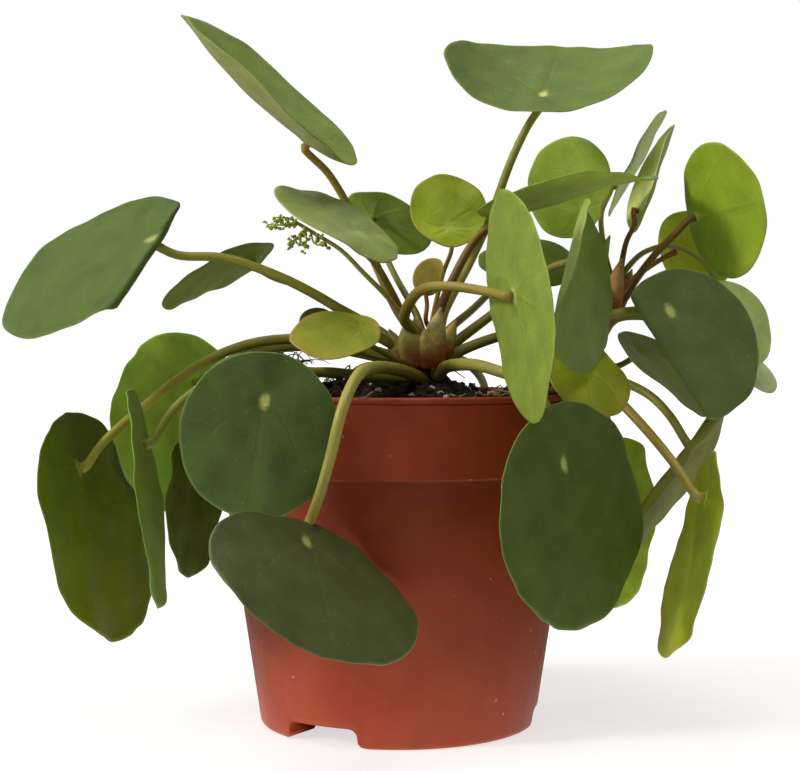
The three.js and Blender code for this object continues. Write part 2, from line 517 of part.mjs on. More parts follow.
function potGeometry() {
  const collarFoot = potHeight - collarHeight;
  const beadFoot = potHeight - rimBeadHeight;
  const rimOuter = rimRadius - rimBeadProud;
  const profile = [
    [0, floorRecess], [footRingInner, floorRecess], [footRingInner + 0.8, 0],
    [footRadius - footChamfer, 0], [footRadius - 0.4, footChamfer * 0.5], [footRadius, footChamfer],
    [bodyTopRadius, collarFoot], [collarFootRadius, collarFoot + 0.6],
    [rimOuter, beadFoot], [rimRadius, beadFoot + 0.5], [rimRadius, potHeight - 0.5],
    [rimRadius - 0.6, potHeight], [rimOuter - potWall, potHeight],
    [collarFootRadius - potWall, collarFoot + 0.6], [bodyTopRadius - potWall, collarFoot - 1],
    [footRadius - potWall + 0.8, floorTop], [0, floorTop],
  ];
  const lathe = new THREE.LatheGeometry(profile.map(([r, z]) => new THREE.Vector2(r, z)), potSides);
  lathe.rotateX(Math.PI / 2);
  let solid = toSolid(lathe);
  for (let k = 0; k < drainCount; k += 1) {
    const azimuth = drainAzimuth + (360 / drainCount) * k;
    const mouth = new THREE.Shape();
    const half = drainWidth / 2;
    mouth.moveTo(-half - 3, -1);
    mouth.lineTo(half + 3, -1);
    mouth.lineTo(half + 1.6, 1.2);
    mouth.lineTo(half, footRingHeight - 1.4);
    mouth.lineTo(half - 2, footRingHeight);
    mouth.lineTo(-half + 1, footRingHeight);
    mouth.lineTo(-half, footRingHeight - 0.8);
    mouth.lineTo(-half, 1.2);
    const cut = new THREE.ExtrudeGeometry(mouth, { depth: 22, bevelEnabled: false, steps: 1 });
    cut.rotateX(Math.PI / 2);
    cut.translate(0, footRingInner + 18, 0);
    cut.rotateZ((azimuth - 90) * degree);
    solid = solid.subtract(toSolid(cut));
    const hole = new THREE.CylinderGeometry(drainHoleRadius, drainHoleRadius, 12, 12);
    hole.rotateX(Math.PI / 2);
    hole.translate(drainHoleReach, 0, floorTop);
    hole.rotateZ(azimuth * degree);
    solid = solid.subtract(toSolid(hole));
  }
  return toGeometry(solid);
}

// Radius of the pot's inner wall at a height above the floor
function innerRadius(z) {
  const collarFoot = potHeight - collarHeight;
  if (z > collarFoot + 0.6) {
    const share = (z - collarFoot - 0.6) / (potHeight - collarFoot - 0.6);
    return collarFootRadius - potWall + (rimRadius - rimBeadProud - collarFootRadius) * share;
  }
  const share = (z - floorTop) / (collarFoot - 1 - floorTop);
  return footRadius - potWall + 0.8 + (bodyTopRadius - footRadius - 0.8) * Math.min(share, 1);
}

// Compost height: flat at the wall, heaped towards the stems, with small lumps
function soilHeight(x, y) {
  const edge = 1 - (x * x + y * y) / (58 * 58);
  const heap = Math.exp(-((x + 6) ** 2 + (y - 4) ** 2) / 900);
  const lumps = Math.sin(x * 0.41 + 1) * Math.cos(y * 0.37) + 0.5 * Math.sin(x * 0.23 - y * 0.51);
  return soilEdgeHeight + Math.max(edge, 0) * (soilHeap * heap + soilLump * lumps);
}

function soilGeometry() {
  const vertices = [];
  const faces = [];
  const collarFoot = potHeight - collarHeight;
  const levels = [floorTop + soilGap, collarFoot - 1, collarFoot + 0.6, soilEdgeHeight];
  for (const z of levels) {
    for (let k = 0; k < soilSides; k += 1) {
      const angle = (2 * Math.PI * k) / soilSides;
      const r = innerRadius(z) - soilGap - 0.15;
      vertices.push(new THREE.Vector3(r * Math.cos(angle), r * Math.sin(angle), z));
    }
  }
  const wall = innerRadius(soilEdgeHeight) - soilGap - 0.15;
  for (let ring = soilRings - 1; ring > 0; ring -= 1) {
    for (let k = 0; k < soilSides; k += 1) {
      const angle = (2 * Math.PI * k) / soilSides;
      const r = (wall * ring) / soilRings;
      const [x, y] = [r * Math.cos(angle), r * Math.sin(angle)];
      vertices.push(new THREE.Vector3(x, y, soilHeight(x, y)));
    }
  }
  const rows = vertices.length / soilSides;
  for (let i = 0; i + 1 < rows; i += 1) {
    for (let k = 0; k < soilSides; k += 1) {
      const a = i * soilSides + k;
      const b = i * soilSides + ((k + 1) % soilSides);
      faces.push([a, b, b + soilSides], [a, b + soilSides, a + soilSides]);
    }
  }
  const bottom = vertices.length;
  vertices.push(new THREE.Vector3(0, 0, levels[0]), new THREE.Vector3(0, 0, soilHeight(0, 0)));
  const last = (rows - 1) * soilSides;
  for (let k = 0; k < soilSides; k += 1) {
    const next = (k + 1) % soilSides;
    faces.push([bottom, next, k], [bottom + 1, last + k, last + next]);
  }
  let solid = toSolid(indexed(vertices, faces));
  for (const stem of Object.values(stems)) {
    const socket = stem.path.map((p) => new THREE.Vector3(...p));
    socket[0].z -= stemSocketGap;
    const radii = stem.radii.map((r) => r + stemSocketGap);
    solid = solid.subtract(toSolid(taperedBar(socket, radii, stemSides, 7)));
  }
  return toGeometry(solid);
}

function addPiece(group, name, geometry, colour, roughness) {
  const material = new THREE.MeshStandardMaterial({ color: colour, roughness, metalness: 0 });
  const mesh = new THREE.Mesh(geometry, material);
  mesh.name = name;
  group.add(mesh);
}

const plant = new THREE.Group();
addPiece(plant, 'pot', potGeometry(), colours.pot, 0.45);
addPiece(plant, 'compost', soilGeometry(), colours.compost, 1);
addPiece(plant, 'main_stem', stemGeometry(mainStem, mainStipules), colours.wood, 0.8);
addPiece(plant, 'side_stem', stemGeometry(sideStem, sideStipules), colours.wood, 0.8);
for (const leaf of leaves) addPiece(plant, leaf.name, leafGeometry(leaf), colours[leaf.colour], 0.45);
addPiece(plant, 'flower_spray', sprayGeometry(), colours.young, 0.6);

export default plant;
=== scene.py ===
import math

import bpy
import numpy as np
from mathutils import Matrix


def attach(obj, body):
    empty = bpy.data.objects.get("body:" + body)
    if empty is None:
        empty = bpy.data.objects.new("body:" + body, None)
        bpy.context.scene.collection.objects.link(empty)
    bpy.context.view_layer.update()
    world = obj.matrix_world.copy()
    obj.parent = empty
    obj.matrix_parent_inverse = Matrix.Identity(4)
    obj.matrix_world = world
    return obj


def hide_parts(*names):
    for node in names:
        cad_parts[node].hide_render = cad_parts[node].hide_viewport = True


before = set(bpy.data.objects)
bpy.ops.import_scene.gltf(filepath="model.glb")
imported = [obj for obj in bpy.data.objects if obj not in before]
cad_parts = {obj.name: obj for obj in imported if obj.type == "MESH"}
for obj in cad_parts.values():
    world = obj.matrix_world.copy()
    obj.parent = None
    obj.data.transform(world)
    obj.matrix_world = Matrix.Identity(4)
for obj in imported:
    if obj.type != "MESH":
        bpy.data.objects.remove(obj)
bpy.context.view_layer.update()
mm = 0.001
leafMap = 100     # mm that the map leafPlane covers, with a leaf's hub in its middle
fullTurn = 6.283  # radians, as near as the random draws need it


# Colours and small maths
def linear(hexColour):  # an sRGB hex value as linear RGBA
    values = [int(hexColour[i:i + 2], 16) / 255 for i in (1, 3, 5)]
    return [v / 12.92 if v <= 0.04045 else ((v + 0.055) / 1.055) ** 2.4 for v in values] + [1.0]


def unit(v):
    return v / np.linalg.norm(v, axis=-1, keepdims=True)


def ramp(x, low, high):  # 0 below low, 1 above high, smooth between
    t = np.clip((x - low) / (high - low), 0, 1)
    return t * t * (3 - 2 * t)


def ripple(u, v, length, seed, count=7):  # smooth noise: sines that run in drawn directions, added up
    draw = np.random.default_rng(seed)
    total = 0
    for turn, phase, stretch in draw.random((count, 3)):
        turn, phase = fullTurn * turn, fullTurn * phase
        k = 2 * math.pi / (length * (0.7 + 0.8 * stretch))
        total = total + np.sin(k * (u * math.cos(turn) + v * math.sin(turn)) + phase)
    return total / math.sqrt(count)


def smoothPath(points, count):  # centripetal Catmull-Rom through the points, evened out, and its length
    p = np.asarray(points, float)
    p = np.vstack([2 * p[0] - p[1], p, 2 * p[-1] - p[-2]])
    knot = np.r_[0, np.cumsum(np.sqrt(np.linalg.norm(np.diff(p, axis=0), axis=1)))]
    t = np.linspace(knot[1], knot[-2], 400)
    i = np.clip(np.searchsorted(knot, t, side="right") - 1, 1, len(p) - 3)
    k0, k1, k2, k3 = (knot[i + d][:, None] for d in (-1, 0, 1, 2))
    p0, p1, p2, p3 = (p[i + d] for d in (-1, 0, 1, 2))
    t = t[:, None]
    a1 = ((k1 - t) * p0 + (t - k0) * p1) / (k1 - k0)
    a2 = ((k2 - t) * p1 + (t - k1) * p2) / (k2 - k1)
    a3 = ((k3 - t) * p2 + (t - k2) * p3) / (k3 - k2)
    b1 = ((k2 - t) * a1 + (t - k0) * a2) / (k2 - k0)
    b2 = ((k3 - t) * a2 + (t - k1) * a3) / (k3 - k1)
    dense = ((k2 - t) * b1 + (t - k1) * b2) / (k2 - k1)
    run = np.r_[0, np.cumsum(np.linalg.norm(np.diff(dense, axis=0), axis=1))]
    even = np.linspace(0, run[-1], count)
    return np.stack([np.interp(even, run, dense[:, k]) for k in range(3)], 1), run[-1]


# Meshes
def gridFaces(rows, columns, first=0):  # quads of a grid that closes on itself sideways
    r = np.arange(rows - 1)[:, None]
    c = np.arange(columns)[None, :]
    a = first + r * columns + c
    b = first + r * columns + (c + 1) % columns
    return np.stack([a, b, b + columns, a + columns], -1).reshape(-1, 4)


def fanFaces(centre, ring, flip=False):  # triangles from one point to a closed ring
    nextOne = np.roll(ring, -1)
    pair = (nextOne, ring) if flip else (ring, nextOne)
    return np.stack([np.full(len(ring), centre), *pair], 1)


def closedFaces(rows, sides):  # a grid of rings, its ends closed by fans to the two last points
    last = rows * sides
    return [gridFaces(rows, sides), fanFaces(last, np.arange(sides), flip=True),
            fanFaces(last + 1, np.arange(last - sides, last))]


def putMesh(name, parts, materials, node=None):
    # Joins parts, dicts of points in millimetres, blocks of faces, material numbers (one, or one
    # for each block), uv and colours, into one object that rides on the body
    points = np.vstack([p["points"] for p in parts])
    faces, numbers, first = [], [], 0
    for p in parts:
        for k, block in enumerate(p["faces"]):
            faces += (np.asarray(block) + first).tolist()
            number = p.get("material", 0)
            numbers += [number[k] if isinstance(number, list) else number] * len(block)
        first += len(p["points"])
    mesh = bpy.data.meshes.new(name)
    mesh.from_pydata((points * mm).tolist(), [], faces)
    mesh.polygons.foreach_set("use_smooth", np.ones(len(faces), bool))
    mesh.polygons.foreach_set("material_index", np.array(numbers, np.int32))
    corner = np.empty(len(mesh.loops), np.int32)
    mesh.loops.foreach_get("vertex_index", corner)
    uv = np.vstack([p.get("uv", np.zeros((len(p["points"]), 2))) for p in parts])
    mesh.uv_layers.new(name="leafPlane").data.foreach_set("uv", uv[corner].astype(np.float32).ravel())
    for key in ("tint", "detail"):
        if key in parts[0]:
            layer = mesh.attributes.new(key, "FLOAT_COLOR", "POINT")
            layer.data.foreach_set("color", np.vstack([p[key] for p in parts]).astype(np.float32).ravel())
    for material in materials:
        mesh.materials.append(material)
    mesh.update()
    piece = bpy.data.objects.new(name, mesh)
    bpy.context.scene.collection.objects.link(piece)
    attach(piece, "root")
    if node:
        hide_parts(node)
    return piece


def tube(path, radii, sides, flat=1.0):
    # Rings of the given radii square to the path. Their first direction lies in the plane that the
    # path keeps nearest to, so they never twist. Both ends close in a low dome, a smaller ring and
    # a tip, whose measures are shares of the radius.
    domeRise, domeRing, tipRise = 0.27, 0.6, 1.4
    tangent = unit(np.gradient(path, axis=0))
    reference = np.linalg.svd(tangent)[2][2]
    side = unit(np.cross(tangent, reference))
    up = unit(np.cross(tangent, side))
    angle = np.linspace(0, 2 * math.pi, sides, endpoint=False)
    radii = np.broadcast_to(radii, len(path))[:, None]
    dome = domeRise * radii[[0, -1]] * tangent[[0, -1]] * [[-1], [1]]
    centre = np.vstack([path[:1] + dome[:1], path, path[-1:] + dome[1:]])
    pick = np.r_[0, np.arange(len(path)), len(path) - 1]
    size = radii[pick]
    size[[0, -1]] *= domeRing
    body = (centre[:, None] + (size * np.cos(angle))[..., None] * side[pick][:, None]
            + (flat * size * np.sin(angle))[..., None] * up[pick][:, None])
    rows = len(body)
    points = np.vstack([body.reshape(-1, 3), path[[0, -1]] + tipRise * dome])
    run = np.r_[0, np.cumsum(np.linalg.norm(np.diff(path, axis=0), axis=1))]
    share = np.r_[0, run / run[-1], 1]
    along = np.r_[np.repeat(share, sides), 0, 1]
    around = np.r_[np.tile(np.arange(sides) / sides, rows), 0, 0]
    return dict(points=points, faces=closedFaces(rows, sides), along=along, around=around)


def flatTint(part, *stops):  # a colour for each point, run between stops of (share along, hex)
    shares = [s for s, _ in stops]
    colours = np.array([linear(c) for _, c in stops])
    along = part.get("along", np.zeros(len(part["points"])))
    part["tint"] = np.stack([np.interp(along, shares, colours[:, k]) for k in range(4)], 1)
    return part


# Materials
def addNode(tree, kind, inputs=None, out=0, stops=None, **settings):
    # Adds one node: inputs are plain values or other nodes' outputs, by name or number, stops are
    # a Color Ramp's (place, hex or grey), and settings are the node's own. Returns one output.
    node = tree.nodes.new("ShaderNode" + kind)
    for key, value in settings.items():
        setattr(node, key, value)
    for place, value in stops or []:
        first = node.color_ramp.elements[0 if place == stops[0][0] else -1]
        element = first if place in (stops[0][0], stops[-1][0]) else node.color_ramp.elements.new(place)
        element.position = place
        element.color = linear(value) if isinstance(value, str) else (value, value, value, 1)
    for key, value in (inputs or {}).items():
        if isinstance(value, bpy.types.NodeSocket):
            tree.links.new(value, node.inputs[key])
        else:
            node.inputs[key].default_value = value
    return node.outputs[out]


mixColours = dict(out=2, data_type="RGBA")  # a Mix node's settings for colours
multiplyColours = dict(mixColours, blend_type="MULTIPLY")
noiseSpan = {1: 0.3, 2: 0.7}  # a Map Range's inputs: nearly all of a noise lies between these


def bandInputs(bands, value):  # bands as a Map Range's inputs: from, to, what it gives at both
    return {key: {0: value, **dict(enumerate(band, 1))} for key, band in bands.items()}


def newMaterial(name, **sockets):
    material = bpy.data.materials.new(name)
    material.use_nodes = True
    shader = material.node_tree.nodes["Principled BSDF"]
    for key, value in sockets.items():
        shader.inputs[key.replace("_", " ")].default_value = value
    return material, material.node_tree, shader


def finishMaterial(tree, shader, colour, roughness, height, distance):
    # Links the colour, the roughness and a bump of a height in metres to the shader
    bump = addNode(tree, "Bump", {"Height": height, "Distance": distance, "Strength": 1.0})
    tree.links.new(colour, shader.inputs["Base Color"])
    tree.links.new(roughness, shader.inputs["Roughness"])
    tree.links.new(bump, shader.inputs["Normal"])


# The leaf's cuticle: waxy skin of a living leaf, satin on top, duller and yellower below
leafFinish = {
    "veins": 9,             # main veins that fan out from the hub
    "veinHalfWidth": 0.55,  # mm
    "veinEdge": (0.3, 1.6),  # where its soft edge begins and ends, in shares of that
    "netCell": 6.5,         # mm between the fine veins
    "netEdge": 0.09,        # share of a cell that a fine vein takes
    "netDrift": 5,          # mm that noise bends the net
    "darker": (0.82, 0.83, 0.8, 1), "lighter": (1.17, 1.16, 1.1, 1),  # factors at the mottle's ends
    "spotColour": "#d3dd84",
    "spotStretch": 0.62,    # the spot is longer towards the tip
    "spotEdge": (1.2, 3.2),  # mm from the hub
    "rimColour": "#a9b673",
    "ageColour": "#b3a838", "buffColour": "#b08a44",
    "speckColour": "#c9cfc0", "speckShare": 0.3,
    "speckSize": 0.035,     # the largest, as a share of its cell
    "relief": 0.25,         # mm
    # Bands over the share of the way from the hub to the rim: what each gives at both its ends
    "bands": {
        "veinFade": (0.55, 0.95, 1.0, 0.15), "ageMargin": (0.3, 1.0, -0.12, 0.2),
        "buffEdge": (0.9, 0.98, 0.0, 1.0), "rimLine": (0.978, 0.995, 0.0, 0.16),
    },
    "upper": dict(net="#7f8f4a", netShare=0.015, vein="#8fa05c", veinShare=0.035, veinRelief=-0.3,
                  rough=(0.4, 0.54)),
    "lower": dict(net="#9aa83e", netShare=0.03, vein="#b3bd5f", veinShare=0.04, veinRelief=0.4,
                  rough=(0.48, 0.62)),
}


def leafMaterial(name, face):
    f = leafFinish
    material, tree, shader = newMaterial(
        name, IOR=1.42, Specular_IOR_Level=0.3, Subsurface_Weight=0.4, Subsurface_Scale=0.001,
        Subsurface_Radius=(0.6, 0.9, 0.25))
    plane = addNode(tree, "UVMap", uv_map="leafPlane")
    tint = addNode(tree, "Attribute", attribute_name="tint")
    age = tree.nodes[-1].outputs["Alpha"]
    detail = addNode(tree, "Attribute", attribute_name="detail")
    fan = tree.nodes[-1].outputs["Alpha"]
    rimShare = addNode(tree, "SeparateColor", {0: detail})
    spotShare, leafSeed = tree.nodes[-1].outputs[1:3]
    bands = bandInputs(f["bands"], rimShare)
    # Millimetres from the hub: x towards the tip, y to the side
    place = addNode(tree, "VectorMath", {0: plane, 1: (0.5, 0.5, 0)}, operation="SUBTRACT")
    place = addNode(tree, "VectorMath", {0: place, 1: (leafMap, leafMap, 0)}, operation="MULTIPLY")
    radius = addNode(tree, "VectorMath", {0: place}, operation="LENGTH", out=1)
    seed = addNode(tree, "Math", {0: leafSeed, 1: 50.0}, operation="MULTIPLY")
    # Veins: the mesh counts them round the hub as the fan, so the distance to one is in its fraction
    off = addNode(tree, "Math", {0: fan, 1: 0.5}, operation="PINGPONG")
    off = addNode(tree, "Math", {0: off, 1: 2 * math.pi / f["veins"]}, operation="MULTIPLY")
    off = addNode(tree, "Math", {0: off, 1: radius}, operation="MULTIPLY")
    inner, outer = (f["veinHalfWidth"] * edge for edge in f["veinEdge"])
    vein = addNode(tree, "MapRange", {0: off, 1: inner, 2: outer, 3: 1.0, 4: 0.0},
                   interpolation_type="SMOOTHSTEP")
    fade = addNode(tree, "MapRange", bands["veinFade"])
    vein = addNode(tree, "Math", {0: vein, 1: fade}, operation="MULTIPLY")
    # The net of fine veins, its cells bent by noise
    own = {"Vector": place, "W": seed}
    drift = addNode(tree, "TexNoise", {**own, "Scale": 0.16, "Detail": 2.0}, out=1, noise_dimensions="4D")
    bent = addNode(tree, "VectorMath", {0: drift, 1: (f["netDrift"], f["netDrift"], 0), 2: place},
                   operation="MULTIPLY_ADD")
    cells = addNode(tree, "TexVoronoi", {"Vector": bent, "Scale": 1 / f["netCell"]},
                    voronoi_dimensions="2D", feature="DISTANCE_TO_EDGE")
    net = addNode(tree, "MapRange", {0: cells, 1: 0.0, 2: f["netEdge"], 3: 1.0, 4: 0.0})
    # Swells of about 9 mm mottle the blade, and a grain of under 1 mm roughens it
    mottle = addNode(tree, "TexNoise", {**own, "Scale": 0.11, "Detail": 4.0, "Roughness": 0.62},
                     noise_dimensions="4D")
    fine = addNode(tree, "TexNoise", {**own, "Scale": 1.4, "Detail": 3.0}, noise_dimensions="4D")
    darker, lighter = (addNode(tree, "Mix", {0: 1.0, 6: tint, 7: f[end]}, **multiplyColours)
                       for end in ("darker", "lighter"))
    share = addNode(tree, "MapRange", {0: mottle, **noiseSpan})
    colour = addNode(tree, "Mix", {0: share, 6: darker, 7: lighter}, **mixColours)
    netShare = addNode(tree, "Math", {0: net, 1: face["netShare"]}, operation="MULTIPLY")
    veinShare = addNode(tree, "Math", {0: vein, 1: face["veinShare"]}, operation="MULTIPLY")
    # The pale spot at the hub, with an uneven edge
    longSpot = addNode(tree, "VectorMath", {0: place, 1: (f["spotStretch"], 1.0, 0)}, operation="MULTIPLY")
    longSpot = addNode(tree, "VectorMath", {0: longSpot}, operation="LENGTH", out=1)
    longSpot = addNode(tree, "Math", {0: fine, 1: 1.6, 2: longSpot}, operation="MULTIPLY_ADD")
    inner, outer = f["spotEdge"]
    spot = addNode(tree, "MapRange", {0: longSpot, 1: inner, 2: outer, 3: 1.0, 4: 0.0},
                   interpolation_type="SMOOTHERSTEP")
    spot = addNode(tree, "Math", {0: spot, 1: spotShare}, operation="MULTIPLY")
    # An ageing leaf turns yellow in patches from its margin, with a buff edge
    patch = addNode(tree, "TexNoise", {**own, "Scale": 0.07, "Detail": 3.0}, noise_dimensions="4D")
    margin = addNode(tree, "MapRange", bands["ageMargin"])
    patch = addNode(tree, "Math", {0: patch, 1: margin}, operation="ADD")
    patch = addNode(tree, "MapRange", {0: patch, 1: 0.5, 2: 0.72})
    patch = addNode(tree, "Math", {0: patch, 1: age}, operation="MULTIPLY")
    buff = addNode(tree, "MapRange", bands["buffEdge"])
    buff = addNode(tree, "Math", {0: buff, 1: age}, operation="MULTIPLY")
    rim = addNode(tree, "MapRange", bands["rimLine"])
    # Pale specks, one in each cell of about 6 mm, each of its own size
    dots = addNode(tree, "TexVoronoi", {"Vector": place, "Scale": 0.16}, voronoi_dimensions="2D")
    size = addNode(tree, "SeparateColor", {0: tree.nodes[-1].outputs[1]})
    size = addNode(tree, "Math", {0: size, 1: f["speckSize"]}, operation="MULTIPLY")
    speck = addNode(tree, "Math", {0: dots, 1: size}, operation="LESS_THAN")
    speck = addNode(tree, "Math", {0: speck, 1: f["speckShare"]}, operation="MULTIPLY")
    # Colour: the leaf's own mottled tint, and over it each layer by its share
    layers = ((netShare, face["net"]), (veinShare, face["vein"]), (spot, f["spotColour"]),
              (patch, f["ageColour"]), (buff, f["buffColour"]), (rim, f["rimColour"]),
              (speck, f["speckColour"]))
    for share, paint in layers:
        colour = addNode(tree, "Mix", {0: share, 6: colour, 7: linear(paint)}, **mixColours)
    smooth, dull = face["rough"]
    rough = addNode(tree, "MapRange", {0: mottle, **noiseSpan, 3: smooth, 4: dull})
    height = addNode(tree, "Math", {0: net, 1: -0.2, 2: mottle}, operation="MULTIPLY_ADD")
    height = addNode(tree, "Math", {0: vein, 1: face["veinRelief"], 2: height}, operation="MULTIPLY_ADD")
    height = addNode(tree, "Math", {0: fine, 1: 0.12, 2: height}, operation="MULTIPLY_ADD")
    finishMaterial(tree, shader, colour, rough, height, f["relief"] * mm)
    return material


# Leaf stalk: fleshy, smooth skin with faint streaks along it
stalkFinish = {
    "darker": (0.72, 0.74, 0.7, 1), "lighter": (1.22, 1.2, 1.12, 1),  # factors at the streaks' ends
    "streaks": (22, 5, 1),  # the streak noise's scale round the stalk and along it, on its map
    "rough": (0.36, 0.5),
    "relief": 0.25,         # mm
}


def stalkMaterial():
    f = stalkFinish
    material, tree, shader = newMaterial(
        "leafStalkSkin", IOR=1.42, Subsurface_Weight=0.15, Subsurface_Scale=0.002,
        Subsurface_Radius=(0.6, 0.8, 0.3))
    plane = addNode(tree, "UVMap", uv_map="leafPlane")
    tint = addNode(tree, "Attribute", attribute_name="tint")
    streak = addNode(tree, "Mapping", {"Vector": plane, "Scale": f["streaks"]})
    streak = addNode(tree, "TexNoise", {"Vector": streak, "Scale": 1.0, "Detail": 3.0})
    speckle = addNode(tree, "TexNoise", {"Vector": plane, "Scale": 60.0, "Detail": 2.0})
    share = addNode(tree, "MapRange", {0: streak, **noiseSpan})
    darker, lighter = (addNode(tree, "Mix", {0: 1.0, 6: tint, 7: f[end]}, **multiplyColours)
                       for end in ("darker", "lighter"))
    colour = addNode(tree, "Mix", {0: share, 6: darker, 7: lighter}, **mixColours)
    smooth, dull = f["rough"]
    rough = addNode(tree, "MapRange", {0: speckle, **noiseSpan, 3: smooth, 4: dull})
    finishMaterial(tree, shader, colour, rough, streak, f["relief"] * mm)
    return material


leafTop = leafMaterial("leafUpperCuticle", leafFinish["upper"])
leafUnder = leafMaterial("leafLowerCuticle", leafFinish["lower"])
stalkSkin = stalkMaterial()
print("leaf materials made")


# Stems: paths in millimetres from foot to top, radii at both, as in the part's source
stems = {
    "main": dict(path=[[9, -2, 92], [9, -1.5, 108], [9, -1, 124]], radii=[6.2, 5.2]),
    "side": dict(path=[[46, 9, 92], [48, 9, 104], [57, 8, 116], [66, 6, 128], [70, 4, 141]],
                 radii=[4.2, 3.4]),
}


def bothSides(start, turn, over):  # the same bend on both sides of the blade
    return [[90, start, turn, over], [-90, start, turn, over]]


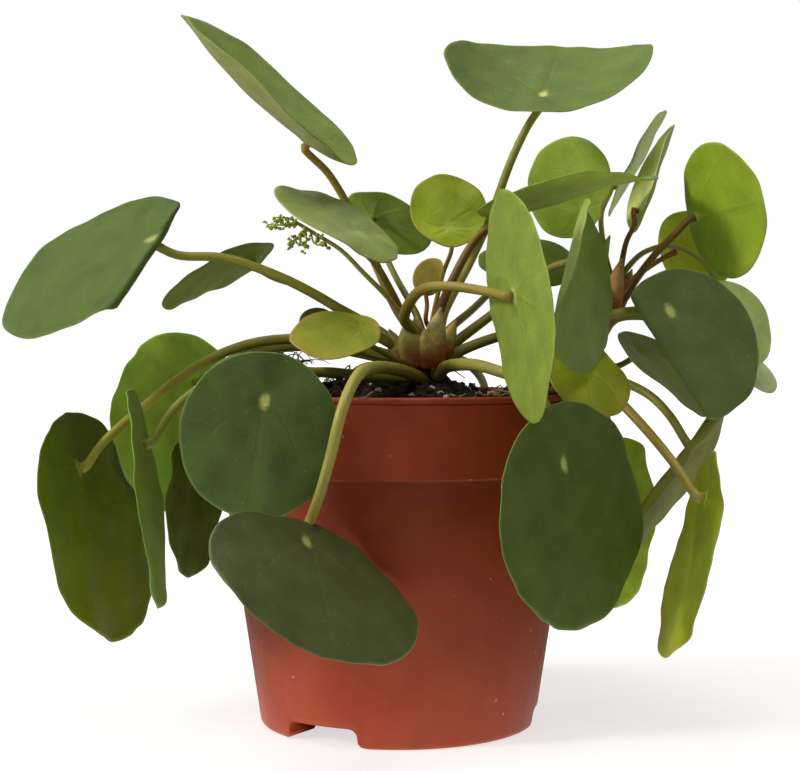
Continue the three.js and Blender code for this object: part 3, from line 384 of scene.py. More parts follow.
# Leaves, in millimetres. hub is where the stalk meets the blade, tip and face are the directions
# of the blade's end and of its upper side, and size is its length and width, with share of the
# length behind the hub. wave is the height, number and phase of the rim's waves. A bend is
# [direction from the tip round to the side, crease's distance from the hub, degrees, over mm].
# stalk lists points from the stem to the hub, start the stem, azimuth and height where it grows,
# and thick its radius at the stem and at the hub. colours are the upper face, the lower face and
# the stalk at the stem and at the hub. spot is how strongly the hub's pale spot shows, age how
# far the blade has turned yellow, and ragged how much more than usual its rim is scalloped. For
# 15 leaves hub, tip, face and size began as a fit to points marked on the photograph, and the
# faces that it shows had their colours matched to it leaf by leaf under this stage's light, so
# those colours hold painted light and shade as well as each leaf's own colour.
leaves = {
    "leaf_top_left": dict(hub=[-29.2, 4, 188.7], tip=[-0.76, 0.12, 0.61], face=[0.45, -0.35, 0.76],
        size=[75, 66.5], share=0.22, wave=[0.6, 5, 20],
        bends=[[90, 0, -30, 8], [0, 10, -14, 40], [180, 2, -16, 12]],
        stalk=[[0, 4, 133], [-8, 9, 150], [-15, 12, 165], [-23, 9.5, 178.5]], start=["main", 158, 124],
        thick=[1.8, 1.3], colours=["#8ba248", "#a1ad60", "#8a5622", "#b49e40"], spot=0.4),
    "leaf_top_right": dict(hub=[48.3, 15, 205.7], tip=[0.21, 0.84, 0.51], face=[-0.07, -0.51, 0.85],
        size=[57, 74.5], share=0.28, wave=[0.3, 4, 60], bends=[[90, 5, -36, 30], [-90, 5, -34, 30]],
        stalk=[[15, 5, 133], [24, 15, 150], [31, 21, 165], [38, 20, 184], [43.5, 18, 195.5]],
        start=["main", 18, 124], thick=[1.9, 1.4], colours=["#6a833c", "#9e9f4d", "#a3803f", "#aeab4c"],
        spot=1.0),
    "leaf_far_left": dict(hub=[-78.9, -9.9, 156.2], tip=[-0.89, 0.23, -0.39], face=[-0.44, -0.63, 0.65],
        size=[72.7, 53], share=0.2, wave=[0.7, 5, 0], bends=[[146, 1.5, 172, 4], [0, 30, 8, 20]],
        stalk=[[-5, -6, 124], [-21, -7, 135], [-38, -7, 144], [-56, -7, 150], [-71, -7, 151]],
        start=["main", -162, 120.5], thick=[1.7, 1.4],
        colours=["#5c7536", "#8c8e41", "#8a8634", "#9e9c3e"], spot=0.6),
    "leaf_left_back": dict(hub=[-51.5, 42, 152], tip=[-0.81, -0.4, -0.38], face=[-0.54, 0.19, 0.82],
        size=[45, 34], share=0.2, wave=[0.4, 4, 40], bends=[[0, 12, 8, 20]],
        stalk=[[-6, 9, 127], [-22, 20, 136], [-34, 32, 142], [-45, 40, 146]], start=["main", 150, 120.5],
        thick=[1.3, 1], colours=["#5f7e30", "#829712", "#7e7e38", "#8f8e41"], spot=0.0),
    "leaf_centre_left": dict(hub=[-15, -14, 158.8], tip=[-0.78, 0.29, 0.55], face=[0.47, -0.29, 0.83],
        size=[44, 46], share=0.38, wave=[0.4, 4, 10], bends=[[180, 5, 20, 12], [0, 14, 10, 14]],
        stalk=[[2, -3, 131], [-2, -6, 139], [-8, -10, 149]], start=["main", 210, 124], thick=[1.3, 1],
        colours=["#a8ba6f", "#a8b464", "#826932", "#91813a"], spot=0.2),
    "leaf_centre_back": dict(hub=[-8, 30, 166], tip=[0.92, -0.12, -0.38], face=[0.38, 0.52, 0.76],
        size=[32, 31], share=0.34, wave=[0.4, 4, 80], bends=bothSides(0, 8, 16),
        stalk=[[6, 6, 132], [-1, 14, 145], [-6, 23, 156]], start=["main", 106, 124], thick=[1.2, 0.9],
        colours=["#6c8a42", "#a1be55", "#827e36", "#8f903e"], spot=0.3),
    "leaf_centre_young": dict(hub=[16.4, 14.1, 161.8], tip=[0.03, 0.42, 0.91], face=[0.15, -0.9, 0.42],
        size=[27.1, 25.9], share=0.29, wave=[0.5, 5, 30], bends=bothSides(2, -14, 12),
        stalk=[[12, 7, 134], [15, 15, 146], [18, 19, 155]], start=["main", 68, 124], thick=[0.9, 0.8],
        colours=["#b2ca3c", "#c4d043", "#8f6029", "#9f9038"], spot=0.5, age=0.2),
    "leaf_centre_red": dict(hub=[10, 3, 140], tip=[0.1, 0.3, 0.95], face=[0.5, 0.8, -0.3], size=[13, 12],
        share=0.15, wave=[0.2, 3, 0], bends=[[90, 1, 40, 5], [-90, 1, 30, 5]],
        stalk=[[9, 0, 130], [9.4, 1, 135]], start=["main", 60, 124], thick=[0.8, 0.7],
        colours=["#7a6f12", "#7f6f12", "#8f5226", "#9b682f"], spot=0.0, age=0.4),
    "leaf_centre_edge": dict(hub=[33, -4, 166], tip=[0.98, -0.05, 0.17], face=[-0.18, 0.09, 0.98],
        size=[58, 52], share=0.13, wave=[0.4, 4, 50],
        bends=[[40, 14, -16, 18], [-90, 4, -8, 12], [0, 30, 20, 20]],
        stalk=[[13, -4, 132], [18, -6, 144], [25, -6, 156]], start=["main", 300, 124], thick=[1.7, 1.3],
        colours=["#76924a", "#b6cc4e", "#6f4322", "#7e632d"], spot=0.0),
    "leaf_front_upright": dict(hub=[34.5, -58.6, 136.6], tip=[0.15, -0.48, -0.86],
        face=[0.93, 0.35, 0.11], size=[75, 42.4], share=0.465, wave=[0.4, 5, 0],
        bends=[[-90, 12, -16, 6], [0, 24, 6, 20]],
        stalk=[[6, -10, 125], [2, -14, 130], [4, -21, 136], [8, -29, 139.5], [16, -37, 140],
               [25, -46, 138.5]], start=["main", -112, 120.5], thick=[1.9, 1.4],
        colours=["#6d853e", "#879d42", "#73662b", "#98893c"], spot=0.9),
    "leaf_right_blue": dict(hub=[55.1, -28.1, 147.8], tip=[-0.06, -0.26, -0.94], face=[0.88, -0.51, 0.06],
        size=[54.5, 54], share=0.36, wave=[0.3, 4, 20], bends=[[-112, 3, -40, 6]],
        stalk=[[20, 1, 124], [33, -4, 134], [44, -13, 143], [49, -22, 146.7]], start=["main", 8, 120.5],
        thick=[1.9, 1.3], colours=["#8ca355", "#a3b65e", "#827e36", "#8f8e41"], spot=0.5),
    "leaf_right_bright_back": dict(hub=[64.4, 45.1, 171.3], tip=[-0.58, 0.39, 0.72],
        face=[-0.65, -0.75, -0.1], size=[34, 37], share=0.26, wave=[0.5, 4, 70],
        bends=bothSides(2, 8, 16), stalk=[[69, 18, 147], [69, 34, 155], [65, 46, 163]],
        start=["side", 100, 136], thick=[1.2, 0.9], colours=["#a2be46", "#aab854", "#a08e42", "#a7a342"],
        spot=0.3),
    "leaf_right_slim_high": dict(hub=[78, 42, 176], tip=[0.49, 0.35, 0.79], face=[0.87, -0.17, -0.47],
        size=[43, 36], share=0.22, wave=[0.3, 4, 0], bends=bothSides(2, 8, 16),
        stalk=[[69, 14, 152], [69, 27, 166], [73, 37, 174]], start=["side", 85, 141], thick=[0.95, 0.9],
        colours=["#cce08c", "#b4c878", "#948e42", "#a7a44c"], spot=0.0),
    "leaf_right_slim_low": dict(hub=[81, 14, 166], tip=[0.32, 0.25, 0.9], face=[0.93, 0.07, -0.35],
        size=[39, 32], share=0.17, wave=[0.3, 4, 30], bends=bothSides(4, 34, 14),
        stalk=[[73, 4, 148], [75, 7, 156], [78, 10, 162]], start=["side", -20, 141], thick=[0.95, 0.8],
        colours=["#9cb860", "#d2de88", "#8f5a30", "#9a683a"], spot=0.0),
    "leaf_right_bright": dict(hub=[98, 5, 164], tip=[0.4, -0.92, 0.08], face=[0.89, 0.4, 0.21],
        size=[42, 44], share=0.14, wave=[0.3, 4, 60], bends=bothSides(4, 8, 18),
        stalk=[[77, 0, 143], [83, 0, 151], [91, 2, 159]], start=["side", -38, 136], thick=[1.4, 1.1],
        colours=["#8faf32", "#94b331", "#744f24", "#82642a"], spot=0.9, age=0.12),
    "leaf_right_bright_behind": dict(hub=[95, 28, 154], tip=[0.67, -0.74, -0.03], face=[0.69, 0.61, 0.37],
        size=[30, 29], share=0.25, wave=[0.4, 4, 0], bends=bothSides(0, 8, 14),
        stalk=[[76, 11, 142], [84, 20, 148], [91, 26, 152]], start=["side", 45, 136], thick=[1.1, 0.9],
        colours=["#a8bc3c", "#d2de3c", "#8f5a30", "#96683a"], spot=0.5),
    "leaf_right_dark": dict(hub=[85, -22, 133], tip=[0.5, -0.06, -0.86], face=[0.25, -0.95, 0.21],
        size=[49, 46], share=0.25, wave=[0.4, 5, 10], bends=[[-88, 7.5, 150, 3], [90, 8, 8, 16]],
        stalk=[[18, -4, 119], [30, -1, 124], [46, 0, 128], [62, -1, 131], [75, -6, 133], [82, -14, 133]],
        start=["main", -18, 116.5], thick=[1.9, 1.5],
        colours=["#6f824c", "#a0b047", "#827e36", "#8f8e41"], spot=1.0),
    "leaf_right_pale_behind": dict(hub=[107, 12, 137], tip=[0.48, -0.08, -0.87], face=[0.33, -0.91, 0.26],
        size=[31, 28], share=0.2, wave=[0.4, 4, 50], bends=bothSides(0, 8, 14),
        stalk=[[75, 7, 147], [82, 12, 153], [92, 14, 155], [101, 14, 150], [106, 16, 143]],
        start=["side", 35, 141], thick=[0.95, 0.8], colours=["#c5db8c", "#b8c88a", "#8f8d3f", "#989d48"],
        spot=0.3),
    "leaf_far_right": dict(hub=[111, 24, 126], tip=[0.64, -0.09, -0.76], face=[0.64, -0.47, 0.6],
        size=[32, 27], share=0.2, wave=[0.3, 4, 0], bends=bothSides(0, 8, 12),
        stalk=[[72, 12, 130], [84, 17, 131], [98, 22, 128]], start=["side", 40, 123], thick=[1, 0.8],
        colours=["#ccd8a0", "#bccb94", "#8f8d3f", "#989d48"], spot=0.0),
    "leaf_right_folded": dict(hub=[80, 12, 120], tip=[0.75, -0.05, -0.65], face=[0.58, -0.4, 0.71],
        size=[40, 36], share=0.22, wave=[0.4, 4, 30], bends=[[90, 2, -8, 14], [-90, 2, -14, 14]],
        stalk=[[67, 11, 115], [73, 13, 115]], start=["side", 20, 115.5], thick=[1.2, 1],
        colours=["#788629", "#94a023", "#827e36", "#8f8e41"], spot=0.0),
    "leaf_yellow": dict(hub=[58.5, -21, 115], tip=[0.03, -0.77, -0.64], face=[0.33, -0.6, 0.73],
        size=[34, 29], share=0.38, wave=[0.5, 5, 20], bends=[[0, 10, 14, 12]],
        stalk=[[49.5, -4, 113.5], [53, -11, 113]], start=["side", -100, 113.5], thick=[1.2, 1],
        colours=["#9cac29", "#adbb2e", "#8f7e36", "#8f8138"], spot=0.0, age=0.4, ragged=1.5),
    "leaf_front_right": dict(hub=[48.7, -58.6, 87.6], tip=[0.2, 0.09, -0.98], face=[0.71, -0.7, 0.09],
        size=[67, 65.5], share=0.27, wave=[0.8, 6, 40], bends=bothSides(6, 3, 26) + [[0, 20, 6, 26]],
        stalk=[[15, -11, 115], [24, -26, 116], [33, -37, 113.5], [38, -42, 112], [42.5, -46.5, 107],
               [46, -51, 97]], start=["main", -55, 113], thick=[2.1, 1.5],
        colours=["#5c712f", "#92a536", "#a89a4a", "#9fa04b"], spot=0.9, ragged=1.6),
    "leaf_front_right_behind": dict(hub=[76.3, 15, 80.5], tip=[-0.1, 0.1, -0.99],
        face=[0.84, 0.53, -0.05], size=[58, 36], share=0.18, wave=[0.8, 6, 10], bends=bothSides(6, 8, 14),
        stalk=[[54, -2, 110.5], [59, -7, 110.3], [64.5, -9, 106.5], [67.5, -3, 99], [68.5, 5, 92],
               [69, 12, 86]], start=["side", -75, 107], thick=[1.4, 1.1],
        colours=["#8fb048", "#bfe24e", "#827e36", "#828138"], spot=0.0, ragged=3),
    "leaf_low_right_edge": dict(hub=[94.3, -16, 88.8], tip=[-0.61, -0.05, -0.78],
        face=[0.72, -0.46, -0.51], size=[60, 39], share=0.24, wave=[0.5, 4, 0],
        bends=[[-90, 1.5, 166, 4], [90, 4, 6, 20]],
        stalk=[[66, 13, 112], [75, 11, 109.6], [82.4, 6, 105.7], [87.8, -2, 99.5]],
        start=["side", 30, 110], thick=[1.7, 1.4], colours=["#868d3c", "#7f8b3e", "#a8a34a", "#a8a64c"],
        spot=0.0),
    "leaf_low_right": dict(hub=[94.3, -38, 75.5], tip=[-0.1, 0.3, -0.95], face=[0.98, 0.1, -0.16],
        size=[69, 38], share=0.22, wave=[0.6, 5, 0],
        bends=[[90, 8, 28, 20], [-90, 12, 22, 16], [0, 6, 16, 44]],
        stalk=[[62, -1, 110.5], [67, -4, 108.5], [72, -9, 103], [78.5, -19, 95], [84.5, -29, 86.5]],
        start=["side", -30, 110.5], thick=[1.7, 1.4],
        colours=["#b3be6b", "#9eb72d", "#ab9142", "#b8a850"], spot=0.9, age=0.25, ragged=1.7),
    "leaf_left_round_behind": dict(hub=[-73, 48, 108], tip=[-0.18, -0.35, -0.92], face=[-0.7, 0.7, -0.13],
        size=[64, 62], share=0.27, wave=[0.8, 6, 0], bends=bothSides(0, 5, 26),
        stalk=[[-2, 6, 117], [-18, 18, 120], [-40, 32, 121], [-58, 40, 117]], start=["main", 140, 116.5],
        thick=[1.7, 1.3], colours=["#7da24c", "#bcdd5f", "#827e36", "#8b953c"], spot=0.6, ragged=1.8),
    "leaf_left_slim": dict(hub=[-80, -28, 91], tip=[0.14, -0.2, -0.92], face=[-0.99, -0.02, -0.12],
        size=[68, 52], share=0.26, wave=[0.6, 5, 30], bends=bothSides(0, 6, 26),
        stalk=[[-2, -5, 112.5], [-19, -9, 113], [-38, -15, 114], [-56, -20, 112], [-69, -24, 103]],
        start=["main", -168, 112.5], thick=[1.7, 1.3],
        colours=["#70983e", "#769d3c", "#827e36", "#8b953c"], spot=0.3),
    "leaf_low_left": dict(hub=[-104, -4, 82], tip=[0.25, 0.14, -0.96], face=[-0.94, 0.28, -0.2],
        size=[76, 72], share=0.24, wave=[0.8, 6, 20], bends=bothSides(0, 6, 30) + [[0, 20, 6, 28]],
        stalk=[[-1, 0, 118], [-16, 2, 122], [-34, 2, 124], [-50, 3, 122], [-66, 3, 115], [-84, 0, 101],
               [-96, -3, 90]], start=["main", 185, 116.5], thick=[1.9, 1.4],
        colours=["#667d15", "#6d7c12", "#a2853a", "#aca842"], spot=0.7, ragged=1.9),
    "leaf_low_left_inner": dict(hub=[-71, 20, 77], tip=[0.03, -0.1, -0.98], face=[-0.95, 0.31, -0.1],
        size=[46, 40], share=0.28, wave=[0.5, 5, 60], bends=[[90, 0, 8, 18], [-90, 0, 14, 18]],
        stalk=[[0, 5, 112], [-16, 11, 112.5], [-36, 17, 113], [-52, 21, 112.5], [-61, 23, 105],
               [-64, 22, 92]], start=["main", 150, 112], thick=[1.5, 1.1],
        colours=["#617f1c", "#587012", "#736f2d", "#73722f"], spot=0.0, ragged=2.4),
    "leaf_front_left": dict(hub=[-38, -68.5, 106.3], tip=[-0.17, 0.2, -0.96], face=[0.09, -0.99, 0.01],
        size=[50.1, 45.7], share=0.29, wave=[0.8, 6, 0], bends=[[90, 8, 5, 20], [-90, 4, 8, 24]],
        stalk=[[1, -10, 111], [-9, -21, 112], [-21, -37, 114], [-32, -53, 113]],
        start=["main", -142, 109], thick=[1.8, 1.4], colours=["#597238", "#859330", "#827e36", "#828138"],
        spot=1.0),
    "leaf_front_low": dict(hub=[-25.9, -68, 66.3], tip=[0.25, -0.75, -0.6], face=[0.57, -0.39, 0.72],
        size=[51.6, 70.7], share=0.17, wave=[0.7, 5, 20], bends=[[0, 10, 12, 30]] + bothSides(8, 6, 24),
        stalk=[[6, -12, 112], [0, -25, 114.5], [-7, -43, 115.5], [-12, -61, 113], [-15.8, -70, 104.2],
               [-19.2, -69.5, 90.5], [-22.8, -64.3, 78.4], [-26, -59, 70]], start=["main", -104, 111],
        thick=[2.1, 1.6], colours=["#5b6440", "#7f9036", "#8e7430", "#b0ab55"], spot=0.8, ragged=1.4),
    "leaf_small_yellow": dict(hub=[-12, -28, 127], tip=[-0.94, -0.27, -0.19], face=[-0.02, -0.51, 0.86],
        size=[28, 26], share=0.22, wave=[0.5, 4, 30], bends=[[90, 0, 6, 12], [-90, 0, -6, 12]],
        stalk=[[0, -10, 117], [-5, -18, 120]], start=["main", 243, 115.5], thick=[1.1, 0.8],
        colours=["#89942e", "#89942e", "#827e36", "#828138"], spot=0.0, age=0.45),
    "leaf_small_round": dict(hub=[-25, -12, 128], tip=[-0.52, 0.4, 0.75], face=[0.04, -0.87, 0.49],
        size=[11, 11], share=0.35, wave=[0.2, 3, 0], bends=[],
        stalk=[[-3, -7, 117.5], [-13, -8, 120], [-21, -9, 124]], start=["main", 216, 116.5],
        thick=[0.9, 0.7], colours=["#424c12", "#4d5712", "#736f2d", "#73722f"], spot=0.0),
    "leaf_back_right": dict(hub=[41, 40, 149], tip=[0.66, 0.67, 0.33], face=[0.05, -0.48, 0.88],
        size=[36, 35], share=0.3, wave=[0.5, 4, 10], bends=bothSides(0, 8, 16),
        stalk=[[15, 6, 125], [25, 18, 134], [35, 33, 143]], start=["main", 45, 120.5], thick=[1.5, 1.1],
        colours=["#617613", "#71811c", "#827e36", "#828138"], spot=0.4),
    "leaf_young_rolled": dict(hub=[67, -1, 145], tip=[0.12, -0.08, 0.99], face=[-0.94, 0.32, 0.14],
        size=[14, 8], share=0.1, wave=[0.1, 3, 0], bends=bothSides(0, -50, 4), stalk=[[67.8, 0.4, 142.8]],
        start=["side", -110, 141], thick=[0.8, 0.7], colours=["#9ac060", "#9ac060", "#738138", "#8aa04f"],
        spot=0.0),
    "leaf_behind_left": dict(hub=[-22, 74, 92], tip=[-0.1, 0.25, -0.96], face=[-0.15, 0.95, 0.25],
        size=[62, 58], share=0.28, wave=[0.8, 6, 10], bends=bothSides(4, 10, 26),
        stalk=[[4, 12, 112], [-4, 26, 114], [-12, 44, 114], [-18, 60, 109], [-21, 68, 100]],
        start=["main", 105, 112], thick=[1.8, 1.4], colours=["#6f8c40", "#93a04a", "#827e36", "#828138"],
        spot=1.0),
    "leaf_behind_right": dict(hub=[34, 76, 84], tip=[0.1, 0.6, -0.8], face=[0.2, 0.78, 0.6],
        size=[64, 60], share=0.3, wave=[0.8, 5, 40], bends=bothSides(4, 10, 26),
        stalk=[[14, 8, 116], [20, 24, 117], [26, 44, 114], [31, 61, 107], [33, 69, 96]],
        start=["main", 62, 116.5], thick=[1.8, 1.4], colours=["#6b8a3c", "#8ea046", "#827e36", "#828138"],
        spot=1.0),
}


# A blade's relief: a length of a ripple is the distance in mm between its swells
bladeForm = {
    "thickness": 0.7,       # mm at the hub
    "rimThickness": 0.4,
    "dimple": 1.0,          # mm that the hub lies below the blade
    "dimpleRadius": 3.2,
    "vein": 0.02,           # mm that a main vein is sunk
    "veinRadius": 1.3,
    "veinSway": 0.09, "swayLength": 30,  # radians
    "veinGather": 0.3,      # share by which the side veins turn towards the tip on their way out
    "pucker": 0.14, "puckerLength": 12,  # mm of swelling between the veins
    "flutter": 0.22, "flutterLength": 15,  # mm up and down at the rim
    "scallop": 0.13, "scallopLength": 9,  # mm in and out of the rim's outline
    "fullLength": 45,       # mm of blade from which the relief is full
    "smallLength": 20,      # mm of blade below which the small grid does
    "grid": (26, 108), "smallGrid": (12, 48),  # rings, and points round each
    "ringPower": 0.9,       # below 1, the rings lie closer at the rim
}


def bendBlade(p, bend):
    # Past the crease the blade turns down along an arc, then runs on straight
    toward, start, turn, over = bend
    c, s = math.cos(math.radians(toward)), math.sin(math.radians(toward))
    u, v, w = p[..., 0], p[..., 1], p[..., 2]
    past = u * c + v * s - start
    across = v * c - u * s
    rate = math.radians(turn) / over
    angle = np.clip(past, 0, over) * rate
    straight = np.clip(past - over, 0, None)
    reach = start + np.sin(angle) / rate + straight * np.cos(angle) + w * np.sin(angle)
    height = w * np.cos(angle) - (1 - np.cos(angle)) / rate - straight * np.sin(angle)
    bent = np.stack([reach * c - across * s, reach * s + across * c, height], -1)
    return np.where((past > 0)[..., None], bent, p)


def reliefScale(leaf):
    return min(1, leaf["size"][0] / bladeForm["fullLength"])


def bladeSurface(leaf, seed):
    # Rings run from the hub to an elliptical rim that lies off centre. Height over the flat blade
    # is a dimple at the hub, sunk veins, swelling between them and waves that grow to the rim.
    # Returns the flat blade's points, each point's share of the way out, and its vein count.
    form = bladeForm
    length, width = leaf["size"]
    rows, around = form["smallGrid"] if length < form["smallLength"] else form["grid"]
    ring = np.linspace(0, 1, rows + 1)[1:, None] ** form["ringPower"]
    angle = np.linspace(0, 2 * math.pi, around, endpoint=False)[None, :]
    scale = reliefScale(leaf)
    ragged = leaf.get("ragged", 1)
    scallop = form["scallop"] * scale * ragged
    rimU = length * (0.5 - leaf["share"]) + 0.5 * length * np.cos(angle)
    rimV = 0.5 * width * np.sin(angle)
    inOut = scallop * ripple(rimU, rimV, form["scallopLength"], seed) - 0.5 * scallop
    edge = 1 + inOut / np.hypot(rimU, rimV).clip(8)
    u, v = ring * rimU * edge, ring * rimV * edge
    radius = np.hypot(u, v)
    # The side veins sway. Near the tip's direction, and near the rear, they run straight.
    turn = np.broadcast_to(angle, u.shape)
    turn = np.abs(np.where(turn > math.pi, turn - 2 * math.pi, turn))
    sway = form["veinSway"] * ripple(u, v, form["swayLength"], seed + 3)
    sway = sway * ramp(turn, 0.05, 0.6) * (1 - ramp(turn, 2.3, 3))
    step = 2 * math.pi / leafFinish["veins"]
    gather = form["veinGather"]
    fan = np.abs(np.arctan2(v, u) / (1 - gather * ring) * (1 - gather) + sway) / step
    off = np.abs((fan + 0.5) % 1 - 0.5) * step
    waveHeight, waveCount, wavePhase = leaf["wave"]
    pucker = form["pucker"] * scale * ripple(u, v, form["puckerLength"], seed + 1)
    flutter = form["flutter"] * scale * ragged * ripple(u, v, form["flutterLength"], seed + 2)
    w = (waveHeight * ring ** 2 * np.sin(waveCount * angle + math.radians(wavePhase))
         - form["dimple"] * scale * np.exp(-(radius / form["dimpleRadius"]) ** 2)
         - form["vein"] * np.exp(-(off * radius / form["veinRadius"]) ** 2) * (1 - ring ** 3)
         + pucker * ramp(radius, 2, 10)
         + flutter * ring ** 3)
    return np.stack([u, v, w], -1), ring[:, 0], fan


def bladePart(leaf, seed):
    # The bent surface gets its thickness along its normals, less towards the rim, and a rounded
    # lip. The map uv is the flat blade, and detail holds the share of the way out, the spot, a
    # number of the leaf's own and the vein count. Returns the part and the upper face's direction.
    form = bladeForm
    flat, ring, fan = bladeSurface(leaf, seed)
    rows, around = flat.shape[:2]
    bent = np.concatenate([np.full((1, around, 3), [0, 0, -form["dimple"] * reliefScale(leaf)]), flat])
    for crease in leaf["bends"]:
        bent = bendBlade(bent, crease)
    alongRing = np.gradient(bent, axis=0)
    alongRim = np.roll(bent, -1, 1) - np.roll(bent, 1, 1)
    normal = np.cross(alongRing, alongRim)
    normal[0] = normal[1].mean(0)
    normal = unit(normal)
    half = 0.5 * (form["thickness"] + (form["rimThickness"] - form["thickness"])
                  * np.r_[0, ring] ** 2)[:, None, None]
    tip = unit(np.array(leaf["tip"], float))
    face = np.array(leaf["face"], float)
    face = unit(face - face @ tip * tip)
    axes = np.stack([tip, np.cross(face, tip), face])
    hub = np.array(leaf["hub"], float)
    upper, lower = bent + normal * half, bent - normal * half
    lip = bent[-1] + unit(alongRing[-1]) * half[-1]
    points = np.vstack([np.vstack([side[0, :1], side[1:].reshape(-1, 3)]) @ axes + hub
                        for side in (upper, lower)] + [lip @ axes + hub])
    n = 1 + rows * around
    last = n - around
    k = np.arange(around)
    nextK = (k + 1) % around
    faces = [gridFaces(rows, around, 1)[:, ::-1], fanFaces(0, 1 + k),
             np.stack([last + k, 2 * n + k, 2 * n + nextK, last + nextK], 1),
             gridFaces(rows, around, n + 1), fanFaces(n, n + 1 + k, flip=True),
             np.stack([2 * n + k, n + last + k, n + last + nextK, 2 * n + nextK], 1)]
    plane = np.vstack([[0, 0], flat[..., :2].reshape(-1, 2)]) / leafMap + 0.5
    share = np.r_[0, np.repeat(ring, around)]
    fan = np.r_[0, fan.ravel()]
    upperColour, lowerColour = (np.array(linear(c)) for c in leaf["colours"][:2])
    tint = np.repeat([upperColour, lowerColour, 0.8 * upperColour + 0.2 * lowerColour],
                     [n, n, around], axis=0)
    tint[:, 3] = leaf.get("age", 0)
    same = np.ones(len(points))
    detail = np.stack([np.r_[share, share, np.ones(around)], leaf["spot"] * same,
                       (seed * 0.618) % 1 * same, np.r_[fan, fan, fan[last:]]], 1)
    part = dict(points=points, faces=faces, uv=np.vstack([plane, plane, plane[last:]]), tint=tint,
                detail=detail, material=[0] * 3 + [1] * 3)
    return part, axes[2]


stalkForm = {
    "sides": 14, "flat": 0.92,
    "rootInset": 0.4, "rootClear": 1.5,           # share of the stem's radius, and mm past its bark
    "topInset": 0.3, "topOut": 0.75, "topRise": 2,  # on the stem's top: shares of it, and mm up
    "flare": 0.35, "rootFlare": 5, "hubFlare": 1.6,  # share of the radius, and mm it dies away over
    "hubSink": 0.7,         # share of its radius that it ends below the dimple
    "pointGap": 2,          # mm between its rings
}


def stalkStart(start):
    # A point inside the stem at the given height and the next one outside, on the stalk's side
    form = stalkForm
    stemName, azimuth, height = start
    stem = stems[stemName]
    path, _ = smoothPath(stem["path"], 100)
    top = len(path) - 1
    k = min(np.searchsorted(path[:, 2], height), top)
    out = np.array([math.cos(math.radians(azimuth)), math.sin(math.radians(azimuth)), 0])
    radius = np.interp(k / top, [0, 1], stem["radii"])
    inset, away, rise = form["rootInset"] * radius, radius + form["rootClear"], 0
    if k == top:
        inset, away, rise = form["topInset"] * radius, form["topOut"] * radius, form["topRise"]
    return [path[k] + inset * out, path[k] + away * out + [0, 0, rise]]


def stalkPart(leaf, face):
    # A tapering bar along the stalk's points, thicker at its root and flared into the hub
    form = stalkForm
    hub = np.array(leaf["hub"], float)
    low, high = leaf["thick"]
    seat = min(3, 0.1 * leaf["size"][0] + 1)
    sink = bladeForm["dimple"] * reliefScale(leaf) + form["hubSink"] * high
    points = stalkStart(leaf["start"]) + leaf["stalk"] + [hub - seat * face, hub - sink * face]
    straight = np.linalg.norm(np.diff(np.array(points, float), axis=0), axis=1).sum()
    path, length = smoothPath(points, max(20, int(straight / form["pointGap"])))
    t = np.linspace(0, 1, len(path))
    radii = low + (high - low) * t + form["flare"] * low * np.exp(-t * length / form["rootFlare"])
    radii = radii + form["flare"] * high * np.exp(-(1 - t) * length / form["hubFlare"])
    part = tube(path, radii, form["sides"], form["flat"])
    part["uv"] = np.stack([part["around"] * 0.1, part["along"] * length / leafMap], 1)
    part["material"] = 2
    part["detail"] = np.ones((len(part["points"]), 4))
    rootColour, hubColour = leaf["colours"][2:]
    return flatTint(part, (0, rootColour), (0.5, hubColour), (1, hubColour))


for seed, (name, leaf) in enumerate(leaves.items(), 10):
    blade, face = bladePart(leaf, seed)
    putMesh(name.replace("leaf_", "blade_"), [blade, stalkPart(leaf, face)],
            [leafTop, leafUnder, stalkSkin], name)
print("leaves made:", len(leaves))


# Pot: injection-moulded polypropylene, satin, with dust and compost on it
pot = {
    "height": 107, "rimRadius": 60, "beadHeight": 2, "beadProud": 0.6, "wall": 1.2,
    "collarHeight": 24.5, "collarFootRadius": 58.6, "bodyTopRadius": 57,
    "footRadius": 44.8, "footRound": 2.0, "footRingInner": 31, "floorRecess": 3, "floorTop": 7.8,
    "notches": (-122, -2, 118), "notchWidth": 25, "notchHeight": 6.3, "notchCorner": 2.6,
    "sides": 240,
    "colour": "#a94424", "pale": "#b3502f", "deep": "#98371a", "dust": "#c9b09a", "soil": "#3a2a20",
    # Each band runs from one height to another, in metres, and from one brightness or share of
    # soil to another. The brightnesses were set by the look of the pot in the photograph: painted
    # shade darkens the body upwards and most under the collar, and painted light lightens the collar.
    "bands": {
        "body": (0.006, 0.036, 0.86, 0.64), "underCollarShade": (0.06, 0.081, 1.0, 0.88),
        "collar": (0.0823, 0.0825, 0.0, 1.19),
        "footSoil": (0.0, 0.012, 0.5, 0.0), "rimSoil": (0.096, 0.106, 0.0, 0.4),
    },
    "dustShare": 0.7, "rough": (0.42, 0.55), "relief": 0.06,  # relief in mm
}


